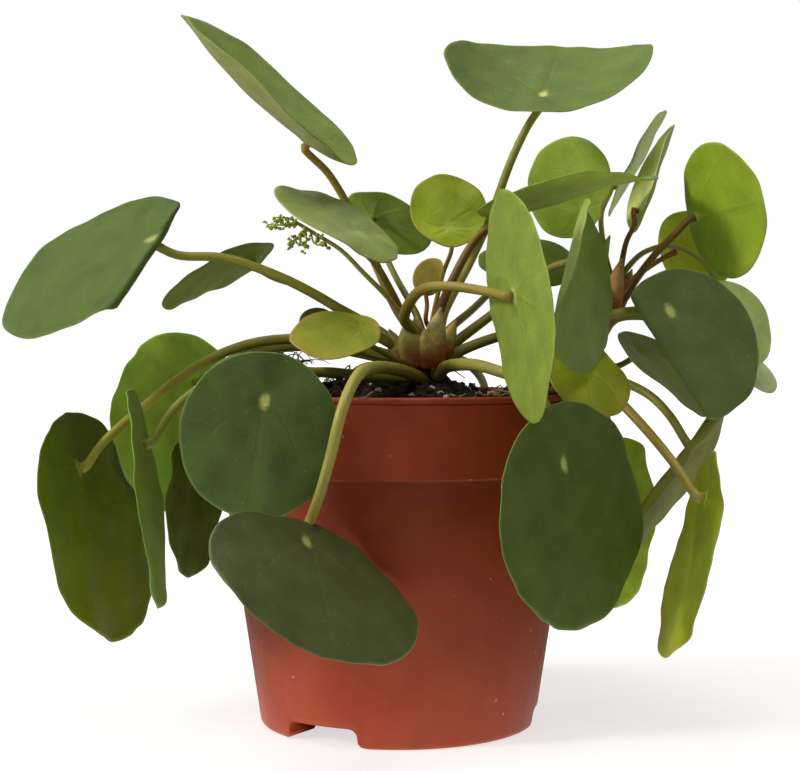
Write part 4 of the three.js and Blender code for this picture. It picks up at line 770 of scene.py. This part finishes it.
def potMaterial():
    material, tree, shader = newMaterial("polypropyleneMoulded", IOR=1.49, Specular_IOR_Level=0.22)
    place = addNode(tree, "TexCoord", out=3)
    # Clouds of about 45 mm, upright flow lines 4 mm apart and a grain of about half a millimetre
    cloud = addNode(tree, "TexNoise", {"Vector": place, "Scale": 22.0, "Detail": 4.0, "Roughness": 0.6})
    flow = addNode(tree, "Mapping", {"Vector": place, "Scale": (260, 260, 9)})
    flow = addNode(tree, "TexNoise", {"Vector": flow, "Scale": 1.0, "Detail": 3.0})
    grain = addNode(tree, "TexNoise", {"Vector": place, "Scale": 2200.0, "Detail": 2.0})
    colour = addNode(tree, "ValToRGB", {0: cloud}, stops=[(0.3, pot["deep"]), (0.5, pot["colour"]),
                                                          (0.72, pot["pale"])])
    # Dust: pale specks in cells of 6 mm, only where a wider noise is high
    dots = addNode(tree, "TexVoronoi", {"Vector": place, "Scale": 170.0})
    near = addNode(tree, "Math", {0: dots, 1: 0.07}, operation="LESS_THAN")
    where = addNode(tree, "TexNoise", {"Vector": place, "Scale": 45.0, "Detail": 1.0})
    where = addNode(tree, "Math", {0: where, 1: 0.56}, operation="GREATER_THAN")
    speck = addNode(tree, "Math", {0: near, 1: where}, operation="MULTIPLY")
    speck = addNode(tree, "Math", {0: speck, 1: pot["dustShare"]}, operation="MULTIPLY")
    colour = addNode(tree, "Mix", {0: speck, 6: colour, 7: linear(pot["dust"])}, **mixColours)
    addNode(tree, "SeparateXYZ", {0: place})
    height = tree.nodes[-1].outputs[2]
    bands = bandInputs(pot["bands"], height)
    # Painted shade darkens the body upwards, most in the corner under the collar, and painted light makes
    # the collar lighter
    paintedShade = addNode(tree, "MapRange", bands["body"])
    corner = addNode(tree, "MapRange", bands["underCollarShade"], interpolation_type="SMOOTHSTEP")
    collar = addNode(tree, "MapRange", bands["collar"])
    corner = addNode(tree, "Math", {0: corner, 1: collar}, operation="MAXIMUM")
    paintedShade = addNode(tree, "Math", {0: paintedShade, 1: corner}, operation="MULTIPLY")
    colour = addNode(tree, "VectorMath", {0: colour, 1: paintedShade}, operation="MULTIPLY")
    # A dull film of compost in patches near the foot and the rim
    foot = addNode(tree, "MapRange", bands["footSoil"])
    top = addNode(tree, "MapRange", bands["rimSoil"])
    smear = addNode(tree, "Math", {0: foot, 1: top}, operation="MAXIMUM")
    patch = addNode(tree, "MapRange", {0: cloud, 1: 0.52, 2: 0.66})
    smear = addNode(tree, "Math", {0: smear, 1: patch}, operation="MULTIPLY")
    colour = addNode(tree, "Mix", {0: smear, 6: colour, 7: linear(pot["soil"])}, **mixColours)
    smooth, dull = pot["rough"]
    rough = addNode(tree, "MapRange", {0: flow, **noiseSpan, 3: smooth, 4: dull})
    bumps = addNode(tree, "Math", {0: grain, 1: 0.25, 2: flow}, operation="MULTIPLY_ADD")
    finishMaterial(tree, shader, colour, rough, bumps, pot["relief"] * mm)
    return material


def potPiece():
    # A lathe: one profile turned about the pot's axis, with rounded rim, step and foot. The small
    # offsets ease its corners by tenths of a millimetre.
    p = pot
    collarFoot = p["height"] - p["collarHeight"]
    beadFoot = p["height"] - p["beadHeight"]
    rimOuter = p["rimRadius"] - p["beadProud"]
    turn = np.linspace(0, math.pi / 2, 6)
    footArc = np.stack([p["footRadius"] - p["footRound"] * (1 - np.sin(turn)),
                        p["footRound"] * (1 - np.cos(turn))], 1)
    beadTurn = np.linspace(-math.pi / 2, math.pi / 2, 9)
    beadRadius = 0.5 * p["beadHeight"]
    beadArc = np.stack([p["rimRadius"] - beadRadius + beadRadius * np.cos(beadTurn),
                        beadFoot + beadRadius + beadRadius * np.sin(beadTurn)], 1)
    step = [[p["bodyTopRadius"], collarFoot - 0.6], [p["bodyTopRadius"] + 0.25, collarFoot - 0.1],
            [p["collarFootRadius"] - 0.5, collarFoot], [p["collarFootRadius"] - 0.12, collarFoot + 0.12],
            [p["collarFootRadius"], collarFoot + 0.5]]
    body = np.linspace([p["footRadius"], p["footRound"]], [p["bodyTopRadius"], collarFoot - 0.6], 14)[1:-1]
    collar = np.linspace([p["collarFootRadius"], collarFoot + 0.5], [rimOuter, beadFoot - 0.5], 6)[1:]
    inner = [[rimOuter - p["wall"] - 0.2, p["height"] - 0.5], [rimOuter - p["wall"] - 0.35, beadFoot],
             [p["collarFootRadius"] - p["wall"], collarFoot + 0.6],
             [p["bodyTopRadius"] - p["wall"], collarFoot - 1],
             [p["footRadius"] - p["wall"] + 0.8, p["floorTop"] + 1],
             [p["footRadius"] - p["wall"] - 0.4, p["floorTop"]]]
    outline = np.vstack([[[p["footRingInner"] + 0.3, p["floorRecess"] - 0.2]],
                         [[p["footRingInner"] + 0.9, 0.3], [p["footRingInner"] + 1.6, 0]],
                         footArc, body, step, collar, [[rimOuter + 0.05, beadFoot - 0.1]], beadArc, inner])
    sides = p["sides"]
    angle = np.linspace(0, 2 * math.pi, sides, endpoint=False)
    points = np.stack([outline[:, :1] * np.cos(angle), outline[:, :1] * np.sin(angle),
                       np.broadcast_to(outline[:, 1:], (len(outline), sides))], -1).reshape(-1, 3)
    points = np.vstack([points, [[0, 0, p["floorRecess"]], [0, 0, p["floorTop"]]]])
    shell = dict(points=points, faces=closedFaces(len(outline), sides))
    cutNotches(putMesh("pot_shell", [shell], [potMaterial()], "pot"))


def cutNotches(piece):
    # Each drain notch is cut by a bar with a rounded section that runs in from outside the foot.
    # The section flares out at the bottom, so that the notch's foot is eased too.
    p = pot
    half, high, corner = 0.5 * p["notchWidth"], p["notchHeight"], p["notchCorner"]
    turn = np.linspace(0, math.pi / 2, 7)
    right = np.stack([half - corner + corner * np.cos(turn), high - corner + corner * np.sin(turn)], 1)
    flare = np.array([[half + 3, -1.5], [half + 2.6, 0.0], [half + 0.8, 0.7], [half, 2.0]])
    section = np.vstack([flare, right, (right * [-1, 1])[::-1], (flare * [-1, 1])[::-1]])
    n = len(section)
    for azimuth in p["notches"]:
        a = math.radians(azimuth)
        out, across = np.array([math.cos(a), math.sin(a), 0]), np.array([-math.sin(a), math.cos(a), 0])
        rows = [section[:, :1] * across + section[:, 1:] * [0, 0, 1] + reach * out
                for reach in (p["footRingInner"] - 3.5, p["footRadius"] + 6)]
        points = np.vstack(rows) * mm
        faces = gridFaces(2, n).tolist() + [list(range(n))[::-1], list(range(n, 2 * n))]
        mesh = bpy.data.meshes.new("notchCutter")
        mesh.from_pydata(points.tolist(), [], faces)
        cutter = bpy.data.objects.new("notchCutter", mesh)
        bpy.context.scene.collection.objects.link(cutter)
        cut = piece.modifiers.new("notch", "BOOLEAN")
        cut.operation, cut.object, cut.solver = "DIFFERENCE", cutter, "EXACT"
        bpy.context.view_layer.objects.active = piece
        bpy.ops.object.modifier_apply(modifier=cut.name)
        bpy.data.objects.remove(cutter)


potPiece()
print("pot made")


# Compost: dark moist peat with perlite and root fibres
compost = {
    "edgeHeight": 103, "wall": 57.9, "reach": 58, "floor": 84, "rings": 60, "around": 160,
    # The heap at the stems and the clump of roots at the left: height, place, squares of its widths
    "heap": dict(height=8.5, place=(2, 5), spread=(1000, 1000)),
    "clump": dict(height=16, place=(-40, -8), spread=(110, 170)),
    "peat": ("#211811", "#3d2e22"), "perlite": ("#bdb6a6", "#d9d4c8"),
    "fibre": ("#3f2b1d", "#6e4d33"), "straw": ("#7d6446", "#b39a74"),
    "crumbs": 2600, "crumbSize": (0.5, 2.2), "crumbReach": 56.5, "seed": 4,
    "perlites": 70, "perliteSize": (1.2, 3.0),
    "fibres": 150, "fibreRadius": (0.3, 0.14), "fibreLength": (5, 15), "fibreRise": (1, 5.5),
    "fibreReach": (54, 57), "fibreSeed": 31,  # how far out its root and its end may lie
    # In the clump: how many, and the middle and spread of their x and y
    "clumpCrumbs": dict(count=700, x=(-43, 8), y=(-8, 9), reach=56),
    "clumpFibres": dict(count=90, x=(-41, 7), y=(-9, 6)),
    # Straw on the rim, first at the front right, then at the front left: the middle and spread of
    # both azimuths in degrees, and the radii that it lies between
    "straws": 46, "frontStraws": 30, "strawRadius": (0.28, 0.14), "strawLength": (1.5, 5),
    "strawRing": (55, 59),
    "strawAzimuths": ((-58, 7), (-128, 12)), "strawHeight": 107.2, "strawLowest": 106.9,
}


def soilHeight(x, y):  # level at the wall, heaped at the stems, with a clump of roots at the left
    c = compost
    edge = np.sqrt(np.clip(1 - (x * x + y * y) / c["reach"] ** 2, 0, None))
    heap, clump = (bump["height"] * np.exp(-((x - bump["place"][0]) ** 2 / bump["spread"][0]
                                             + (y - bump["place"][1]) ** 2 / bump["spread"][1]))
                   for bump in (c["heap"], c["clump"]))
    uneven = 1.1 * ripple(x, y, 14, 3) + 0.7 * ripple(x, y, 5, 5)
    return c["edgeHeight"] + edge * (heap + uneven) + clump * edge


def peatMaterial(name, colours, roughness):
    # Dull and uneven: clods of about 2 mm run from the dark to the light colour
    dark, light = compost[colours]
    material, tree, shader = newMaterial(name, Specular_IOR_Level=0.3)
    place = addNode(tree, "TexCoord", out=3)
    clods = addNode(tree, "TexNoise", {"Vector": place, "Scale": 420.0, "Detail": 5.0, "Roughness": 0.7})
    colour = addNode(tree, "ValToRGB", {0: clods}, stops=[(0.35, dark), (0.75, light)])
    rough = addNode(tree, "MapRange", {0: clods, **noiseSpan, 3: roughness, 4: roughness - 0.15})
    finishMaterial(tree, shader, colour, rough, clods, 1.0 * mm)
    return material


peat = peatMaterial("peatMoist", "peat", 0.95)  # black-brown, without a shine
perlite = peatMaterial("perliteExpanded", "perlite", 0.9)  # blown glass, chalky and off-white
fibre = peatMaterial("rootFibre", "fibre", 0.8)  # thin woody root, brown
straw = peatMaterial("strawDry", "straw", 0.75)  # dead stalk, pale and a little smoother


def compostPiece():
    # A height field in polar rings, closed by a wall and a floor below the pot's rim
    c = compost
    ring = np.linspace(1, 0, c["rings"], endpoint=False)[:, None] * c["wall"]
    angle = np.linspace(0, 2 * math.pi, c["around"], endpoint=False)
    x, y = ring * np.cos(angle), ring * np.sin(angle)
    top = np.stack([x, y, soilHeight(x, y)], -1)
    foot = np.stack([0.98 * x[0], 0.98 * y[0], np.full(len(angle), c["floor"], float)], -1)
    middle = soilHeight(np.zeros(1), np.zeros(1))[0]
    points = np.vstack([foot, top.reshape(-1, 3), [[0, 0, c["floor"]], [0, 0, middle]]])
    body = dict(points=points, faces=closedFaces(c["rings"] + 1, c["around"]))
    putMesh("peat_surface", [body], [peat], "compost")


def lumps(count, sizes, places, seed):
    # Uneven twenty-sided lumps, each turned and stretched by its own draw, as one set of arrays
    g = (1 + 5 ** 0.5) / 2
    base = np.array([[-1, g, 0], [1, g, 0], [-1, -g, 0], [1, -g, 0], [0, -1, g], [0, 1, g], [0, -1, -g],
                     [0, 1, -g], [g, 0, -1], [g, 0, 1], [-g, 0, -1], [-g, 0, 1]]) / 1.9
    shell = np.array([[0, 11, 5], [0, 5, 1], [0, 1, 7], [0, 7, 10], [0, 10, 11], [1, 5, 9], [5, 11, 4],
                      [11, 10, 2], [10, 7, 6], [7, 1, 8], [3, 9, 4], [3, 4, 2], [3, 2, 6], [3, 6, 8],
                      [3, 8, 9], [4, 9, 5], [2, 4, 11], [6, 2, 10], [8, 6, 7], [9, 8, 1]])
    draw = np.random.default_rng(seed)
    turn = np.linalg.qr(draw.normal(size=(count, 3, 3)))[0]
    turn *= np.sign(np.linalg.det(turn))[:, None, None]
    stretch = draw.uniform(0.6, 1.3, (count, 1, 3)) * np.asarray(sizes).reshape(-1, 1, 1) / 2
    points = (base * draw.uniform(0.8, 1.2, (count, 12, 1)) * stretch) @ turn + places[:, None]
    faces = (shell[None] + 12 * np.arange(count)[:, None, None]).reshape(-1, 3)
    return dict(points=points.reshape(-1, 3), faces=[faces])


def scatter(count, seed):  # places drawn evenly over the compost
    c = compost
    draw = np.random.default_rng(seed)
    radius = np.sqrt(draw.uniform(0, (c["crumbReach"] / c["reach"]) ** 2, count)) * c["reach"]
    angle = draw.uniform(0, 2 * math.pi, count)
    x, y = radius * np.cos(angle), radius * np.sin(angle)
    return np.stack([x, y, soilHeight(x, y)], 1)


def crumbPieces():
    c = compost
    draw = np.random.default_rng(c["seed"])
    even = scatter(c["crumbs"], 21)
    group = c["clumpCrumbs"]
    clump = np.stack([draw.normal(*group[axis], group["count"]) for axis in ("x", "y")], 1)
    clump = clump[np.hypot(clump[:, 0], clump[:, 1]) < group["reach"]]
    lift = draw.uniform(-0.5, 2.5, len(clump))
    clump = np.column_stack([clump, soilHeight(clump[:, 0], clump[:, 1]) + lift])
    places = np.vstack([even, clump])
    sizes = draw.uniform(*c["crumbSize"], len(places)) ** 1.2
    putMesh("peat_crumbs", [lumps(len(places), sizes, places, 22)], [peat])
    places = scatter(c["perlites"], 23)
    places[:, 2] += 0.4
    sizes = draw.uniform(*c["perliteSize"], len(places))
    putMesh("perlite_bits", [lumps(len(places), sizes, places, 24)], [perlite])


def fibrePieces():
    # Thin roots: a short arc from the compost up and down again, each with its own draw
    c = compost
    draw = np.random.default_rng(c["fibreSeed"])
    group = c["clumpFibres"]
    rootReach, endReach = c["fibreReach"]
    parts = []
    for k in range(c["fibres"]):
        if k < group["count"]:
            x, y = draw.normal(*group["x"]), draw.normal(*group["y"])
        else:
            x, y, _ = scatter(1, 100 + k)[0]
        if math.hypot(x, y) > rootReach:
            continue
        z = float(soilHeight(np.array([x]), np.array([y]))[0])
        a, reach, rise = (draw.uniform(*span) for span in ((0, fullTurn), c["fibreLength"], c["fibreRise"]))
        step = np.array([math.cos(a), math.sin(a)]) * reach / 3
        bow = draw.normal(0, 2.0, (4, 2))
        path = [[x + step[0] * i + bow[i, 0], y + step[1] * i + bow[i, 1], z + rise * h]
                for i, h in enumerate((-0.3, 0.7, 1.0, 0.3))]
        path, _ = smoothPath(path, 12)
        if np.hypot(path[:, 0], path[:, 1]).max() < endReach:
            parts.append(tube(path, np.linspace(*c["fibreRadius"], 12) * draw.uniform(0.7, 1.3), 5))
    putMesh("root_fibres", parts, [fibre])
    # Dry straw bits that lie on the rim, each a short bowed bar with its own draw
    parts = []
    for k in range(c["straws"]):
        a = math.radians(draw.normal(*c["strawAzimuths"][0 if k < c["frontStraws"] else 1]))
        r = draw.uniform(*c["strawRing"])
        middle = np.array([r * math.cos(a), r * math.sin(a), c["strawHeight"] + draw.uniform(0, 1.3)])
        turn, reach, tilt = draw.uniform(0, fullTurn), draw.uniform(*c["strawLength"]), draw.normal(0, 0.3)
        step = reach * np.array([math.cos(turn), math.sin(turn), tilt])
        bow = draw.normal(0, 0.5, 3) * [1, 1, 0.4]
        path, _ = smoothPath([middle - step / 2, middle + bow, middle + step / 2], 8)
        path[:, 2] = path[:, 2].clip(c["strawLowest"])
        parts.append(tube(path, np.linspace(*c["strawRadius"], 8) * draw.uniform(0.7, 1.3), 5))
    putMesh("straw_bits", parts, [straw])


compostPiece()
crumbPieces()
fibrePieces()
print("compost made")


# Stems: dark bark with the ridges of old leaf scars, orange-brown where young stalks leave it
barkLook = {
    "main": ((0, "#1b1410"), (0.66, "#241a13"), (0.84, "#7c4a28"), (1, "#a8844a")),  # share up, colour
    "side": ((0, "#2a1e15"), (0.4, "#4c3722"), (0.7, "#93683a"), (1, "#b08c4c")),
    "dark": (0.55, 0.55, 0.55, 1),  # factor in the rind's furrows, which lie about 2 mm apart
    "relief": 0.6,                  # mm
    "scarGap": 4.2, "scarRise": 0.5,  # mm between old leaf scars, and that the stem swells there
}


def barkMaterial():
    material, tree, shader = newMaterial("stemBark", Specular_IOR_Level=0.35)
    place = addNode(tree, "TexCoord", out=3)
    tint = addNode(tree, "Attribute", attribute_name="tint")
    rind = addNode(tree, "TexNoise", {"Vector": place, "Scale": 500.0, "Detail": 5.0, "Roughness": 0.65})
    share = addNode(tree, "MapRange", {0: rind, **noiseSpan})
    dark = addNode(tree, "Mix", {0: 1.0, 6: tint, 7: barkLook["dark"]}, **multiplyColours)
    colour = addNode(tree, "Mix", {0: share, 6: dark, 7: tint}, **mixColours)
    rough = addNode(tree, "MapRange", {0: rind, **noiseSpan, 3: 0.6, 4: 0.8})
    finishMaterial(tree, shader, colour, rough, rind, barkLook["relief"] * mm)
    return material


bark = barkMaterial()

# Papery scales at the stems' tops, in millimetres: foot, point, width and the colours of both
stipules = {
    "main": [([11, -8, 115.5], [13.4, -11.5, 134], 8.5, "#cc7240", "#c2b870"),
             ([6.5, -8.5, 115.5], [2, -11.5, 129], 10.5, "#c4784a", "#b0ac56"),
             ([9, -9, 115], [8.4, -12.2, 127], 9.5, "#d0703c", "#c0ae5c"),
             ([13, -4, 116], [18.5, -6.5, 130], 7.0, "#b86a3a", "#c4b062"),
             ([3, -3, 115], [-3, -5, 127], 7.5, "#b06a3a", "#aca654"),
             ([8, 3, 118], [6, 6, 133], 6.0, "#b06a3a", "#c0b264")],
    "side": [([69, 1.8, 131], [72, -5, 150], 7.0, "#cc7a3a", "#d8ac68"),
             ([72, 6, 134], [77, 8, 147], 5.0, "#b86e36", "#ccaa60"),
             ([67, 0, 129], [66, -5, 143], 5.5, "#c0743a", "#c4a85c")],
}


def stipulePart(foot, point, width, footColour, pointColour):
    # A pointed papery scale: a cupped strip whose width swells and then runs out to its point.
    # It bows forwards, and its front and back are joined into one thin closed shell.
    paper = 0.15  # mm to each side of the strip
    foot, point = np.array(foot, float), np.array(point, float)
    rise = point - foot
    across = unit(np.cross(rise, [0.35, 1, 0]))
    out = unit(np.cross(across, rise))
    t = np.linspace(0, 1, 16)[:, None]
    s = np.linspace(-1, 1, 9)[None, :]
    half = 0.5 * width * (0.75 + 1.0 * t - 1.75 * t ** 2.2).clip(0.02)
    cup = 0.35 * width * (s ** 2 - 0.4) * (1 - 0.6 * t)
    sheet = (foot + t[..., None] * rise + (half * s)[..., None] * across + cup[..., None] * out
             + 0.12 * np.linalg.norm(rise) * (t * (1 - t) * 4)[..., None] * -out)
    normal = unit(np.cross(np.gradient(sheet, axis=0), np.gradient(sheet, axis=1)))
    loop = np.concatenate([sheet + paper * normal, (sheet - paper * normal)[:, ::-1]], 1)
    rows, n = loop.shape[:2]
    points = np.vstack([loop.reshape(-1, 3), loop[0].mean(0), loop[-1].mean(0)])
    part = dict(points=points, faces=closedFaces(rows, n), along=np.r_[np.repeat(t[:, 0], n), 0, 1])
    return flatTint(part, (0, footColour), (0.25, footColour), (0.6, pointColour), (1, pointColour))


def stemPiece(name, stem):
    # A tapered bar whose radius rises at each old leaf scar
    look = barkLook
    path, length = smoothPath(stem["path"], 60)
    t = np.linspace(0, 1, len(path))
    scar = np.abs(np.sin(t * length / look["scarGap"] * math.pi / 2)) ** 6
    radii = np.interp(t, [0, 1], stem["radii"]) + look["scarRise"] * scar
    bar = flatTint(tube(path, radii, 40), *look[name])
    scales = [stipulePart(*row) for row in stipules[name]]
    putMesh(name + "_trunk", [bar] + scales, [bark], name + "_stem")


for name, stem in stems.items():
    stemPiece(name, stem)
print("stems made")


# Flower spray: one thin stalk with loose twigs of tiny green buds
spray = {
    "stalk": [[2, -8, 131], [-4, -12, 138], [-11, -16, 145], [-18, -18, 152], [-26, -19, 157],
              [-31, -20, 160]],
    "start": ["main", 250, 124],
    "twigs": [[-41, -18, 160], [-38, -22, 162], [-29, -22, 152], [-34, -15, 154], [-22, -24, 153]],
    "stalkRadius": (1.0, 0.6), "twigRadius": (0.4, 0.22), "twigGap": 0.18, "twigBow": 0.8,
    "budSize": 1.5, "budSizes": (0.6, 1.1), "budsPerTwig": 22, "budSpan": (0.25, 1.05),
    "spread": 0.85, "seed": 7,
    "stalkColours": ("#9a8244", "#b8b862"), "budColours": ("#98ae42", "#ccd66c"),
    "budTint": "#b4cc54",  # what the buds carry as their colour attribute
}


def budMaterial():
    # A bud's fleshy skin, mottled in patches of about 1 mm
    dark, light = spray["budColours"]
    material, tree, shader = newMaterial("flowerBudSkin", Subsurface_Weight=0.15, Subsurface_Scale=0.001)
    place = addNode(tree, "TexCoord", out=3)
    mottle = addNode(tree, "TexNoise", {"Vector": place, "Scale": 900.0, "Detail": 2.0})
    colour = addNode(tree, "ValToRGB", {0: mottle}, stops=[(0.35, dark), (0.65, light)])
    rough = addNode(tree, "MapRange", {0: mottle, **noiseSpan, 3: 0.5, 4: 0.7})
    finishMaterial(tree, shader, colour, rough, mottle, 0.2 * mm)
    return material


def sprayPiece():
    s = spray
    points = stalkStart(s["start"]) + s["stalk"]
    path, _ = smoothPath(points, 50)
    low, high = s["stalkColours"]
    bar = tube(path, np.linspace(*s["stalkRadius"], len(path)), 10)
    stalks = [flatTint(bar, (0, low), (0.5, high), (1, high))]
    end, knot = np.array(points[-1], float), np.array(points[-2], float)
    draw = np.random.default_rng(s["seed"])
    spots = []
    for k, tip in enumerate(s["twigs"]):
        root = end + (knot - end) * s["twigGap"] * k
        twig, _ = smoothPath([root, (root + tip) / 2 + draw.normal(0, s["twigBow"], 3), tip], 14)
        bar = tube(twig, np.linspace(*s["twigRadius"], len(twig)), 6)
        stalks.append(flatTint(bar, (0, high), (1, high)))
        t = draw.uniform(*s["budSpan"], s["budsPerTwig"])[:, None]
        spots.append(root + (np.array(tip) - root) * t + draw.normal(0, s["spread"], (len(t), 3)))
    for stalk in stalks:
        stalk["material"] = 1
        stalk["uv"] = np.stack([stalk["around"] * 0.05, stalk["along"] * 0.3], 1)
    places = np.vstack(spots)
    sizes = s["budSize"] * draw.uniform(*s["budSizes"], len(places))
    buds = lumps(len(places), sizes, places, 8)
    flatTint(buds, (0, s["budTint"]))
    putMesh("flower_buds", [buds] + stalks, [budMaterial(), stalkSkin], "flower_spray")


sprayPiece()
print("flower spray made")


# Stage: a pale floor, a wide soft light overhead, a smaller and sharper one at the left, and a
# pale room. Places and reaches are in metres.
stage = {
    "floorColours": ("#bcbbb9", "#c2c1bf"), "floorReach": 60.0, "seenGlow": 0.66,
    "poolCentre": (-0.01, -0.03, 0), "poolReach": 0.17, "poolGlow": 1.25,
    "potFoot": (0.034, 0.046),  # the pool fades out between these distances, under the pot
    "roomColour": "#ffffff", "backdrop": 1.0,
    # The room's light: the direction's y at the front and behind, and the strength at both
    "roomBand": (-0.8, 0.9, 0.03, 0.4),
    "lightColour": "#fff8ee",
    "topStrength": 1.8, "topAngle": 60, "topFrom": (-0.2, -0.2, 1.0),
    "keyStrength": 1.6, "keyAngle": 13, "keyFrom": (-0.95, -0.34, 0.48),
}

# The photograph's camera: place in millimetres, degrees that it looks down, and its lens in pixels
cameraSet = {
    "place": (0.6, -555, 124.7), "tilt": 1.63, "focalPixels": 1707, "pixelWidth": 800, "sensor": 36,
}


def floorPiece():
    # A matt floor: a pool round the pot glows unseen by the camera and lights the pot from below as painted
    # light, and the floor shows white
    material, tree, shader = newMaterial(
        "floorMattPaint", Roughness=0.8, Specular_IOR_Level=0.2, Emission_Color=linear(stage["roomColour"]))
    place = addNode(tree, "TexCoord", out=3)
    away = addNode(tree, "VectorMath", {0: place, 1: stage["poolCentre"]}, operation="DISTANCE", out=1)
    pool = addNode(tree, "MapRange", {0: away, 1: 0.0, 2: stage["poolReach"], 3: stage["poolGlow"],
                                      4: 0.0}, interpolation_type="SMOOTHSTEP")
    under = addNode(tree, "VectorMath", {0: place}, operation="LENGTH", out=1)
    inner, outer = stage["potFoot"]
    outside = addNode(tree, "MapRange", {0: under, 1: inner, 2: outer, 3: 0.0, 4: 1.0})
    pool = addNode(tree, "Math", {0: pool, 1: outside}, operation="MULTIPLY")
    seen = addNode(tree, "LightPath", out=0)
    glow = addNode(tree, "Mix", {0: seen, 2: pool, 3: stage["seenGlow"]}, out=0)
    tree.links.new(glow, shader.inputs["Emission Strength"])
    cloud = addNode(tree, "TexNoise", {"Vector": place, "Scale": 3.0})
    dark, light = stage["floorColours"]
    colour = addNode(tree, "ValToRGB", {0: cloud}, stops=[(0.3, dark), (0.7, light)])
    tree.links.new(colour, shader.inputs["Base Color"])
    mesh = bpy.data.meshes.new("floor")
    far = stage["floorReach"]
    mesh.from_pydata([(-far, -far, 0), (far, -far, 0), (far, far, 0), (-far, far, 0)], [], [(0, 1, 2, 3)])
    mesh.materials.append(material)
    floor = bpy.data.objects.new("floor", mesh)
    bpy.context.scene.collection.objects.link(floor)


def sunLight(name, strength, angle, direction):
    light = bpy.data.lights.new(name, "SUN")
    light.energy = strength
    light.angle = math.radians(angle)
    light.color = linear(stage["lightColour"])[:3]
    lamp = bpy.data.objects.new(name, light)
    x, y, z = unit(np.array(direction, float))
    lamp.rotation_euler = (math.acos(z), 0, math.atan2(x, -y))
    bpy.context.scene.collection.objects.link(lamp)


def room():
    # The room lights the plant softly, brighter from behind, and shows white behind it
    world = bpy.data.worlds.new("studio")
    world.use_nodes = True
    tree = world.node_tree
    background = tree.nodes["Background"]
    direction = addNode(tree, "TexCoord", out=0)
    addNode(tree, "SeparateXYZ", {0: direction})
    depth = tree.nodes[-1].outputs[1]
    soft = addNode(tree, "MapRange", {0: depth, **dict(enumerate(stage["roomBand"], 1))})
    seen = addNode(tree, "LightPath", out=0)
    strength = addNode(tree, "Mix", {0: seen, 2: soft, 3: stage["backdrop"]}, out=0)
    background.inputs[0].default_value = linear(stage["roomColour"])
    tree.links.new(strength, background.inputs[1])
    bpy.context.scene.world = world


def camera():
    c = cameraSet
    data = bpy.data.cameras.new("camera")
    data.sensor_width = c["sensor"]
    data.sensor_fit = "HORIZONTAL"
    data.lens = c["sensor"] * c["focalPixels"] / c["pixelWidth"]
    data.clip_start = 10 * mm
    view = bpy.data.objects.new("camera", data)
    view.location = [v * mm for v in c["place"]]
    view.rotation_euler = (math.radians(90 - c["tilt"]), 0, 0)
    bpy.context.scene.collection.objects.link(view)
    bpy.context.scene.camera = view


floorPiece()
sunLight("top", stage["topStrength"], stage["topAngle"], stage["topFrom"])
sunLight("key", stage["keyStrength"], stage["keyAngle"], stage["keyFrom"])
room()
camera()
bpy.context.scene.view_settings.view_transform = "Standard"
print("stage made")
